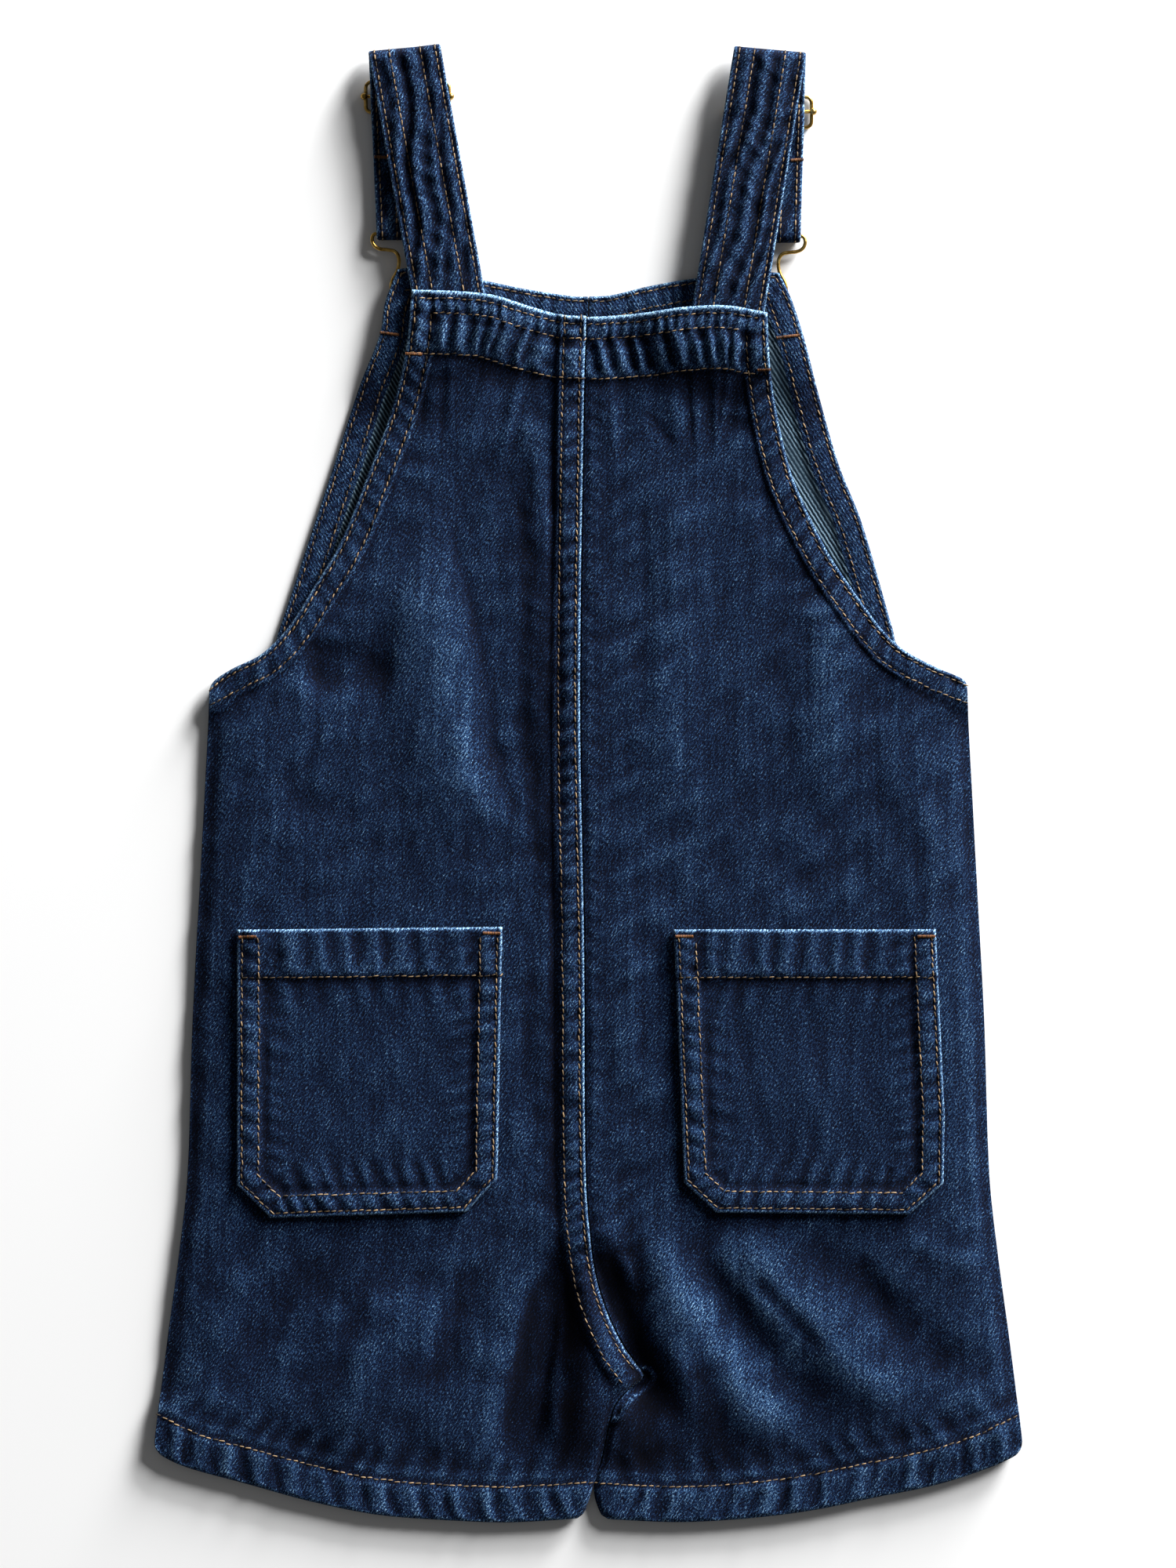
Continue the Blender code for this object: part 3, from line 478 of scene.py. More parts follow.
def mitred(corners, distance):
    """A line with corners moved aside towards the cloth, as closely spaced points."""
    corners = np.array(corners, dtype=float)
    ahead = np.diff(corners, axis=0)
    ahead /= np.linalg.norm(ahead, axis=1)[:, None]
    aside = np.stack((-ahead[:, 1], ahead[:, 0]), axis=1)
    before, after = np.concatenate((aside[:1], aside)), np.concatenate((aside, aside[-1:]))
    moved = before + after
    moved /= (moved * after).sum(axis=1)[:, None]
    corners = corners + moved * distance
    return np.concatenate([np.linspace(start, end, SIDE_POINTS, endpoint=False)
                           for start, end in zip(corners, corners[1:])])


class Sheet:
    """A flat cut between four edges: u runs from the outer edge to the seam, v up from the hem."""

    def __init__(self, outer, inner, hem, top, curved=True):
        self.outer, self.inner, self.curved = outer, inner, curved
        self.hem = across(outer[0][1:], hem, inner[0][1:])
        self.top = across(outer[-1][1:], top, inner[-1][1:])

    def point(self, u, v):
        """Places for arrays of shares, rows of v by columns of u."""
        outer, inner = along(self.outer, v, self.curved), along(self.inner, v, self.curved)
        hem, top = along(self.hem, u, self.curved), along(self.top, u, self.curved)
        hem_outer, hem_inner, top_outer, top_inner = (
            np.array(row[1:]) for row in (self.outer[0], self.inner[0], self.outer[-1], self.inner[-1]))
        u, v = u[..., None], v[..., None]
        corners = ((1 - u) * (1 - v) * hem_outer + u * (1 - v) * hem_inner
                   + (1 - u) * v * top_outer + u * v * top_inner)
        return (1 - u) * outer + u * inner + (1 - v) * hem + v * top - corners

    def width(self, v):
        """Distance from the outer edge to the seam at shares of the way up."""
        outer, inner = along(self.outer, v, self.curved), along(self.inner, v, self.curved)
        return np.linalg.norm(outer - inner, axis=-1)

    def edge(self, side, start=0.0, end=1.0):
        """One of the four edges, or a stretch of it, as closely spaced points."""
        rows = {"outer": self.outer, "inner": self.inner, "hem": self.hem, "top": self.top}[side]
        return Edge(along(rows, np.linspace(start, end, EDGE_POINTS), self.curved))


def steps_along(length, near=True, far=True, pitch=PITCH):
    """Distances from 0 to a length, closer together at a worked edge."""
    start = list(EDGE_STEPS) if near else [0.0]
    end = [length - step for step in reversed(EDGE_STEPS)] if far else [length]
    count = max(2, int((end[0] - start[-1]) / pitch) + 1)
    middle = np.linspace(start[-1], end[0], count + 1)[1:-1]
    return np.concatenate((start, middle, end))


def bib_lift(x, y):
    """Underside of the front above the surface: raised over each hook and button."""
    lift = np.zeros_like(x)
    for strap in STRAPS.values():
        aside = np.maximum(np.abs(x - strap["hook"][0]) - EYE_HALF, 0.0)
        below = np.maximum(BUTTON_Y - BUTTON_R - 1.0 - y, 0.0)
        lift = np.maximum(lift, BIB_LIFT * (1.0 - ease(np.hypot(aside, below) / LIFT_REACH)))
    return lift


def strap_cover(x, y):
    """1 over a strap's end behind the band, fading to 0 round it."""
    cover = np.zeros_like(x)
    for strap in STRAPS.values():
        band_x, band_y = strap["band"]
        aside = np.maximum(np.abs(x - band_x) - STRAP_W / 2 - 2.0, 0.0)
        below = np.maximum(band_y - STRAP_TUCK - 1.5 - y, 0.0)
        cover = np.maximum(cover, 1.0 - ease(np.hypot(aside, below) / STRAP_REACH))
    return cover


def fold_height(x, y, folds):
    """Sum of the soft ridges and troughs at each point."""
    height = np.zeros_like(x)
    for x0, y0, x1, y1, x2, y2, half, rise in folds:
        nearest = np.full_like(x, 1e9)
        share = np.zeros_like(x)
        for part, (ax, ay, bx, by) in enumerate(((x0, y0, x1, y1), (x1, y1, x2, y2))):
            t = ((x - ax) * (bx - ax) + (y - ay) * (by - ay)) / ((bx - ax) ** 2 + (by - ay) ** 2)
            t = np.clip(t, 0.0, 1.0)
            distance = np.hypot(x - ax - (bx - ax) * t, y - ay - (by - ay) * t)
            closer = distance < nearest
            nearest = np.where(closer, distance, nearest)
            share = np.where(closer, (part + t) / 2, share)
        fade = ease(np.minimum(share, 1.0 - share) / FOLD_ENDS)
        height += rise * fade * np.exp(-(nearest / half) ** 2)
    return height


def crown(x, y):
    """How far the back puffs up: most in the middle of the body, none at the edges."""
    side = SIDE_HALF + SIDE_FLARE * (SIDE_TOP - y) / SIDE_LENGTH
    height = CROWN * ease((side - np.abs(x)) / CROWN_REACH) * ease((y - CROWN_FOOT) / CROWN_RAMP)
    return height * (1.0 - ease((y - CROWN_FADE) / CROWN_FADE_REACH) * CROWN_LOSS)


def back_under(x, y):
    """Height of the back's underside."""
    base = bib_lift(x, y) + CLOTH + TURNED + PANEL_GAP
    inside = ease((y - FOLDS_FOOT) / FOLDS_RAMP)
    stack = CROTCH_RISE * (1.0 - ease(np.hypot(x - CROTCH_X, (y - CROTCH_Y) * 0.8) / CROTCH_REACH))
    lie = (fold_height(x, y, FOLDS) * FOLD_LOOK + stack) * inside
    base = base + crown(x, y) + np.maximum(lie, -crown(x, y) - DEEPEST)
    return base + np.maximum(STRAP_OVER - base, 0.0) * strap_cover(x, y)


def turned_edge(distance, depth):
    """Thickness that a turned hem adds at a distance from its fold."""
    return TURNED * (1.0 - ease((distance - depth) / 1.2))


def rounded(distance, radius=1.3, fall=1.0):
    """How far a folded edge curves down, as a quarter of a circle."""
    share = np.clip(1.0 - distance / radius, 0.0, 1.0)
    return fall * (1.0 - np.sqrt(1.0 - share * share * 0.98))


def furrow(distance, row, depth=0.34):
    """A stitch row pulls the cloth down along itself."""
    return depth * np.exp(-((distance - row) / 0.75) ** 2)


def softened(x, y, one, other, radius=4.5):
    """Places with a corner of the cloth rounded off, from the distances to its two edges."""
    centre = np.unravel_index((np.abs(one - radius) + np.abs(other - radius)).argmin(), x.shape)
    past_one, past_other = np.maximum(radius - one, 0.0), np.maximum(radius - other, 0.0)
    pull = 1.0 - np.maximum(past_one, past_other) / np.maximum(np.hypot(past_one, past_other), 1e-9)
    pull = np.where((past_one > 0) & (past_other > 0), pull, 0.0)
    return x + (x[centre] - x) * pull, y + (y[centre] - y) * pull


def crease_lines(place, seed, pitch):
    """Thin ridges where a hem folded on itself, 0 to 1, about half a pitch apart."""
    return (1.0 - np.abs(ripple(place, seed, pitch))) ** 3


def blurred(grid, reach):
    """Mean of the points around each point."""
    for _round in range(2):
        for axis in (0, 1):
            ends = [(0, 0), (0, 0)]
            ends[axis] = (reach + 1, reach)
            total = np.cumsum(np.pad(grid, ends, mode="edge"), axis=axis)
            window = 2 * reach + 1
            if axis == 0:
                grid = (total[window:] - total[:-window]) / window
            else:
                grid = (total[:, window:] - total[:, :-window]) / window
    return grid


def wear_and_crease_shade(height):
    """Wear and painted shade: creases that stand proud are paled as the wash rubs them, hollows are
    darkened as painted shade.
    """
    fine = height - blurred(height, 2)
    middle = blurred(height, 1) - blurred(height, 5)
    return np.clip(0.75 * fine + 0.20 * middle, -0.30, 0.22)


def between(value, low, high, soft=1.2):
    """1 between two distances, with soft ends."""
    return ease((value - low) / soft + 0.5) * ease((high - value) / soft + 0.5)


def ripple(place, seed, pitch):
    """Uneven waves along a seam, from -1 to 1, about a pitch apart."""
    count, lead = 400, 60.0    # more waves than any line has, from a little before its start
    rng = np.random.default_rng(seed)
    knots = np.cumsum(rng.uniform(0.55, 1.5, count) * pitch / 2) - lead
    crests = np.where(np.arange(count) % 2 == 0, 1.0, -1.0) * rng.uniform(0.25, 1.0, count)
    index = np.clip(np.searchsorted(knots, place) - 1, 0, count - 2)
    share = ease((place - knots[index]) / (knots[index + 1] - knots[index]))
    return crests[index] * (1 - share) + crests[index + 1] * share


def crumple(x, y, seed, longest, shortest, count=14):
    """A soft uneven surface from crossing waves, about -1 to 1."""
    rng = np.random.default_rng(seed)
    total = np.zeros_like(x)
    for _index in range(count):
        length = math.exp(rng.uniform(math.log(shortest), math.log(longest)))
        angle = rng.uniform(0, math.pi)
        phase = rng.uniform(0, 2 * math.pi)
        warp = 0.9 * np.sin((x * math.sin(angle) - y * math.cos(angle)) / (length * 1.7) + phase * 2)
        total += np.sin((x * math.cos(angle) + y * math.sin(angle)) * 2 * math.pi / length + phase + warp)
    return total / math.sqrt(count)


# Making meshes

def mesh_object(name, points, faces, material):
    """Object from points in millimetres."""
    mesh = bpy.data.meshes.new(name)
    mesh.from_pydata((np.asarray(points) * MM).tolist(), [], faces)
    mesh.update()
    mesh.shade_smooth()
    mesh.materials.append(material)
    piece = bpy.data.objects.new(name, mesh)
    bpy.context.collection.objects.link(piece)
    return piece


def grid_faces(rows, columns, first, flip):
    """Quads of a grid of points that starts at an index."""
    corner = (np.arange(rows - 1)[:, None] * columns + np.arange(columns - 1)[None, :] + first).ravel()
    quads = np.stack((corner, corner + 1, corner + columns + 1, corner + columns), axis=1)
    return (quads[:, ::-1] if flip else quads).tolist()


def cloth_shell(name, under, over, coordinates, values, flip):
    """Closed cloth wall from two grids of points, with a map of its weave, and its wear and painted shade.
    """
    rows, columns = under.shape[:2]
    count = rows * columns
    faces = grid_faces(rows, columns, 0, not flip) + grid_faces(rows, columns, count, flip)
    rim = list(range(columns))
    rim += [r * columns + columns - 1 for r in range(1, rows)]
    rim += [(rows - 1) * columns + c for c in range(columns - 2, -1, -1)]
    rim += [r * columns for r in range(rows - 2, 0, -1)]
    for here, there in zip(rim, rim[1:] + rim[:1]):
        quad = [here, there, there + count, here + count]
        faces.append(quad[::-1] if flip else quad)
    points = np.concatenate((under.reshape(-1, 3), over.reshape(-1, 3)))
    piece = mesh_object(name, points, faces, DENIM)
    mesh = piece.data
    layer = mesh.uv_layers.new(name="cloth")
    loops = np.empty(len(mesh.loops), dtype=np.int32)
    mesh.loops.foreach_get("vertex_index", loops)
    flat = np.concatenate((coordinates.reshape(-1, 2), coordinates.reshape(-1, 2))) * MM
    layer.data.foreach_set("uv", flat[loops].astype(np.float32).ravel())
    for key, (low, high) in values.items():
        attribute = mesh.attributes.new(key, "FLOAT", "POINT")
        both = np.concatenate((np.broadcast_to(low, (rows, columns)).ravel(),
                               np.broadcast_to(high, (rows, columns)).ravel()))
        attribute.data.foreach_set("value", both.astype(np.float32))
    return piece


def top_tree(piece):
    """For dropping stitches on a piece from above."""
    mesh = piece.data
    return BVHTree.FromPolygons([v.co.copy() for v in mesh.vertices],
                                [tuple(p.vertices) for p in mesh.polygons])


def drop(tree, points, side=1):
    """Places in the plan taken onto a piece from above, or from below where side is -1, with its
    normal there; misses are left out."""
    places, normals = [], []
    for x, y in points:
        hit, normal, _index, _distance = tree.ray_cast(Vector((x, y, 60.0 * side)) * MM,
                                                       Vector((0, 0, -side)))
        if hit is not None:
            places.append(np.array(hit) / MM)
            normals.append(np.array(normal if normal.z * side > 0 else -normal))
    return np.array(places), np.array(normals)


def evenly(points, pitch, phase=0.5):
    """Points at an even pitch along a line, and the direction of the line at each."""
    points = np.asarray(points)
    run = distances_along(points)
    at = np.arange(phase * pitch, run[-1], pitch)
    places, headings = (np.stack([np.interp(at, run, column) for column in rows.T], axis=1)
                        for rows in (points, directions(points)))
    return places, headings / np.linalg.norm(headings, axis=1)[:, None]


class Sewing:
    """Stitches gathered for one joined mesh."""

    SIDES = 6
    SECTIONS = ((-0.5, 0.40, -0.30), (-0.30, 0.92, 0.02), (0.0, 1.0, 0.10), (0.30, 0.92, 0.02),
                (0.5, 0.40, -0.30))    # share of the length, share of the width, rise

    def __init__(self):
        self.points, self.faces, self.shades = [], [], []

    def stitch(self, place, heading, normal, length, width, shade):
        """One stitch: a short bar of thread, highest in the middle, its ends in the cloth."""
        aside = np.cross(normal, heading)
        aside /= np.linalg.norm(aside)
        first = len(self.points)
        for share, wide, rise in self.SECTIONS:
            middle = place + heading * length * share + normal * (width * 0.10 + rise * width * 0.7)
            for step in range(self.SIDES):
                angle = 2 * math.pi * step / self.SIDES
                self.points.append(middle + (aside * math.cos(angle) + normal * math.sin(angle) * 0.8)
                                   * width / 2 * wide)
                self.shades.append(shade)
        rings = len(self.SECTIONS)
        for ring in range(rings - 1):
            for step in range(self.SIDES):
                a = first + ring * self.SIDES + step
                b = first + ring * self.SIDES + (step + 1) % self.SIDES
                self.faces.append((b, a, a + self.SIDES, b + self.SIDES))
        self.faces.append([first + step for step in range(self.SIDES)])
        last = first + (rings - 1) * self.SIDES
        self.faces.append([last + step for step in reversed(range(self.SIDES))])

    def row(self, tree, line, seed, side=1):
        """A row of stitches on a piece, along a line in the plan, on its upper or lower side."""
        rng = np.random.default_rng(seed)
        places, headings = evenly(line, STITCH_PITCH, rng.uniform(0.2, 0.8))
        for (x, y), heading in zip(places, headings):
            spot, normal = drop(tree, [(x + rng.normal(0, 0.10), y + rng.normal(0, 0.10))], side)
            if len(spot):
                if side < 0:
                    spot = spot - normal * PRESSED
                course = np.array((heading[0], heading[1], 0.0))
                course += np.array((-heading[1], heading[0], 0.0)) * rng.normal(0.15, 0.05)
                course -= normal[0] * course.dot(normal[0])
                course /= np.linalg.norm(course)
                self.stitch(spot[0], course, normal[0], STITCH_LENGTH * rng.uniform(0.85, 1.12),
                            THREAD * rng.uniform(0.85, 1.15), rng.uniform(0.0, 1.0))

    def finish(self, name, material):
        """All the stitches as one object."""
        piece = mesh_object(name, self.points, self.faces, material)
        attribute = piece.data.attributes.new("shade", "FLOAT", "POINT")
        attribute.data.foreach_set("value", np.array(self.shades, dtype=np.float32))
        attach(piece, "root")
        return piece


# Materials

def colour(code):
    """sRGB hex to linear."""
    channels = [int(code[index:index + 2], 16) / 255 for index in (1, 3, 5)]
    return [c / 12.92 if c <= 0.04045 else ((c + 0.055) / 1.055) ** 2.4 for c in channels] + [1.0]


def set_stops(elements, stops):
    """Colours along a ramp, from rows of place and sRGB hex."""
    while len(elements) < len(stops):
        elements.new(0.5)
    for element, (place, code) in zip(elements, stops):
        element.position = place
        element.color = colour(code)


def add(tree, kind, settings=None, inputs=None):
    """Add a node, set its properties, and give each input its value or another node's output."""
    node = tree.nodes.new(kind)
    for key, value in (settings or {}).items():
        if key == "stops":
            set_stops(node.color_ramp.elements, value)
        else:
            setattr(node, key, value)
    for key, value in (inputs or {}).items():
        if isinstance(value, bpy.types.NodeSocket):
            tree.links.new(value, node.inputs[key])
        else:
            node.inputs[key].default_value = value
    return node


def summed(tree, start, terms):
    """A start value plus each pattern times its weight."""
    for source, weight in terms:
        start = add(tree, "ShaderNodeMath", {"operation": "MULTIPLY_ADD"},
                    {0: source, 1: weight, 2: start}).outputs[0]
    return start


def new_material(name):
    """A material with its tree of nodes and its shader."""
    material = bpy.data.materials.new(name)
    material.use_nodes = True
    return material, material.node_tree, material.node_tree.nodes["Principled BSDF"]


def washed_denim(name):
    """Indigo twill, sewn and then stone washed: dark where it was protected, blue-white where it
    rubbed, with painted shade and painted light added to its tone. The white weft shows as flecks
    between the slanting ridges of the warp. The real ridges are about 1 mm apart and are drawn 1.25 mm
    apart, and on the paler wrong side 1.4 mm, so that they show at this size."""
    material, tree, shader = new_material(name)
    cloth = add(tree, "ShaderNodeUVMap", {"uv_map": "cloth"}).outputs[0]
    wear, edge, inside = (add(tree, "ShaderNodeAttribute", {"attribute_name": key}).outputs["Fac"]
                          for key in ("wear", "edge", "inside"))

    # Slanting ridges, in metres on the cloth: 58 degrees from the weft
    slanted = add(tree, "ShaderNodeMapping", None,
                  {"Vector": cloth, "Rotation": (0, 0, math.radians(-58))}).outputs[0]
    wobble = add(tree, "ShaderNodeTexNoise", None,
                 {"Vector": cloth, "Scale": 600.0, "Detail": 1.0}).outputs[0]
    # Both sides' ridges as waves, by pitch in metres and wobble: the wrong side's run straighter
    over_ridges = add(tree, "ShaderNodeSeparateXYZ", None, {"Vector": slanted}).outputs["Y"]
    twill, wrong_twill = (
        add(tree, "ShaderNodeMath", {"operation": "SINE"},
            {0: summed(tree, 0.0, ((over_ridges, 2 * math.pi / pitch), (wobble, bend)))}).outputs[0]
        for pitch, bend in ((0.00125, 6.0), (0.0014, 2.0)))

    # Flecks of weft between the ridges, about 1.1 by 0.5 mm, and slubs: thick and thin warp yarns
    # that run the length of the cloth, about 1.9 mm apart
    yarns = []
    for base, wide, tall, rough in ((slanted, 1.1, 0.52, 0.95), (cloth, 1.9, 60.0, 0.6)):
        sized = add(tree, "ShaderNodeMapping", None,
                    {"Vector": base, "Scale": (1000 / wide, 1000 / tall, 1000.0)}).outputs[0]
        yarns.append(add(tree, "ShaderNodeTexNoise", None,
                         {"Vector": sized, "Scale": 1.0, "Detail": 3.0, "Roughness": rough}).outputs[0])
    fleck, slub = yarns
    # Cloudy fading from the wash
    cloud = add(tree, "ShaderNodeTexNoise", None,
                {"Vector": cloth, "Scale": 38.0, "Detail": 3.0, "Roughness": 0.6}).outputs[0]

    # Noise has 0.5 as its middle, so half of each weight comes off the mean tone
    noises = ((fleck, 2.9), (slub, 0.28), (cloud, 0.10))
    start = 0.303 - 0.5 * sum(weight for _noise, weight in noises)
    bare = add(tree, "ShaderNodeMath", {"operation": "MULTIPLY"},
               {0: edge, 1: summed(tree, 0.05, ((fleck, 1.0),))}).outputs[0]
    # Wash wear together with painted shade and painted light from the pieces' attribute, added to the tone
    tone = summed(tree, start, noises + ((twill, 0.07), (wear, 0.55), (bare, 0.8)))
    indigo = add(tree, "ShaderNodeValToRGB", {"stops": (
        (0.00, "#00010a"), (0.25, "#020a20"), (0.42, "#0b1b37"), (0.56, "#1a345b"),
        (0.74, "#43698f"), (1.00, "#a4c8df"))}, {"Fac": tone}).outputs["Color"]
    wrong_tone = summed(tree, 0.12, ((wrong_twill, 0.30), (fleck, 0.6), (wear, 0.3)))
    wrong_side = add(tree, "ShaderNodeValToRGB", {"stops": (
        (0.10, "#07131f"), (0.40, "#293e4d"), (0.62, "#60798a"), (0.90, "#a9c0cf"))},
        {"Fac": wrong_tone}).outputs["Color"]
    shows_wrong = add(tree, "ShaderNodeMath", {"operation": "GREATER_THAN"}, {0: inside, 1: 0.5})
    mixed = add(tree, "ShaderNodeMix", {"data_type": "RGBA"},
                {"Factor": shows_wrong.outputs[0], "A": indigo, "B": wrong_side})

    relief = summed(tree, 0.0, ((twill, 0.35), (fleck, 0.8)))
    bump = add(tree, "ShaderNodeBump", None, {"Strength": 0.55, "Distance": 0.00022, "Height": relief})
    tree.links.new(mixed.outputs["Result"], shader.inputs["Base Color"])
    tree.links.new(bump.outputs[0], shader.inputs["Normal"])
    shader.inputs["Roughness"].default_value = 0.88
    shader.inputs["Specular IOR Level"].default_value = 0.08
    shader.inputs["Sheen Weight"].default_value = 0.03
    shader.inputs["Sheen Roughness"].default_value = 0.5
    return material


def sewing_thread(name, dark, light):
    """Cotton-wrapped polyester thread, twisted: a slight sheen, some stitches paler than others."""
    material, tree, shader = new_material(name)
    shade = add(tree, "ShaderNodeAttribute", {"attribute_name": "shade"}).outputs["Fac"]
    place = add(tree, "ShaderNodeTexCoord").outputs["Object"]
    twist = add(tree, "ShaderNodeTexNoise", None,
                {"Vector": place, "Scale": 1500.0, "Detail": 1.0}).outputs[0]
    level = summed(tree, 0.0, ((shade, 0.75), (twist, 0.3)))
    tint = add(tree, "ShaderNodeValToRGB", {"stops": ((0.2, dark), (0.95, light))}, {"Fac": level})
    bump = add(tree, "ShaderNodeBump", None, {"Strength": 0.4, "Distance": 0.0001, "Height": twist})
    tree.links.new(tint.outputs["Color"], shader.inputs["Base Color"])
    tree.links.new(bump.outputs[0], shader.inputs["Normal"])
    shader.inputs["Roughness"].default_value = 0.6
    shader.inputs["Specular IOR Level"].default_value = 0.3
    return material


def antique_brass(name):
    """Brass wire, darkened in a bath and tumbled: brown and gold in patches, and half dulled."""
    material, tree, shader = new_material(name)
    place = add(tree, "ShaderNodeTexCoord").outputs["Object"]
    patch = add(tree, "ShaderNodeTexNoise", None,
                {"Vector": place, "Scale": 450.0, "Detail": 3.0}).outputs[0]
    tint = add(tree, "ShaderNodeValToRGB",
               {"stops": ((0.30, "#83652f"), (0.50, "#bd974c"), (0.75, "#e6c880"))}, {"Fac": patch})
    bump = add(tree, "ShaderNodeBump", None, {"Strength": 0.25, "Distance": 0.0001, "Height": patch})
    tree.links.new(tint.outputs["Color"], shader.inputs["Base Color"])
    tree.links.new(summed(tree, 0.18, ((patch, 0.25),)), shader.inputs["Roughness"])
    tree.links.new(bump.outputs[0], shader.inputs["Normal"])
    shader.inputs["Metallic"].default_value = 1.0
    return material


DENIM = washed_denim("washed_indigo_twill")
TAN = sewing_thread("tan_sewing_thread", "#2a231a", "#92795a")
RUST = sewing_thread("rust_bartack_thread", "#341e10", "#83532a")
BRASS = antique_brass("antiqued_brass_wire")


# Cloth pieces

def stands_for(piece, node):
    """The piece takes the place of a node of the solids, on the one body that there is."""
    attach(piece, "root")
    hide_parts(node)


def flat_piece(node, x, y, heights, wear, abraded, inside, face_down=False):
    """A piece of cloth between two heights in place of a node, and its tree for the stitches."""
    under, over = (np.stack((x, y, height), axis=2) for height in heights)
    weave = np.stack((-x if face_down else x, y), axis=2)
    values = {"wear": (0.0, wear), "edge": (0.0, np.clip(abraded, 0, 1)), "inside": inside}
    piece = cloth_shell("denim_" + node, under, over, weave, values, x[0, -1] < x[0, 0])
    stands_for(piece, node)
    return piece, top_tree(piece)


def sewn(node, tree, rows):
    """Rows of stitches on a piece as one mesh, from a line in the plan, a seed and a face of each."""
    thread = Sewing()
    for line, seed, face in rows:
        thread.row(tree, line, seed, face)
    return thread.finish("thread_" + node, TAN)


def grid_of(sheet, length, pitch=PITCH):
    """Share up the piece and place in the plan of its points, closer together at its edges."""
    v_line = steps_along(length, pitch=pitch) / length
    widths = sheet.width(v_line)
    near = steps_along(float(widths.max()), pitch=pitch)
    far = near[-1] - near
    edge = EDGE_STEPS[-1]
    # Keep the close steps at their real size in narrow rows too
    u = np.empty((len(v_line), len(near)))
    for row, width in enumerate(widths):
        middle = edge + (near - edge) * (width - 2 * edge) / (near[-1] - 2 * edge)
        u[row] = np.where(near <= edge, near, np.where(far <= edge, width - far, middle)) / width
    v = np.repeat(v_line[:, None], len(near), axis=1)
    places = sheet.point(u, v)
    return v, places[..., 0], places[..., 1]


def puckers(lines, rows, seed):
    """Sum of a table's puckers, along lines given as the distance to each and the place on it."""
    height = 0.0
    for line, slant, draw, pitch, start, end, soft, rise in rows:
        gap, place = lines[line]
        waves = ripple(place + slant * gap, seed + draw, pitch)
        height = height + rise * waves * between(gap, start, end, soft)
    return height


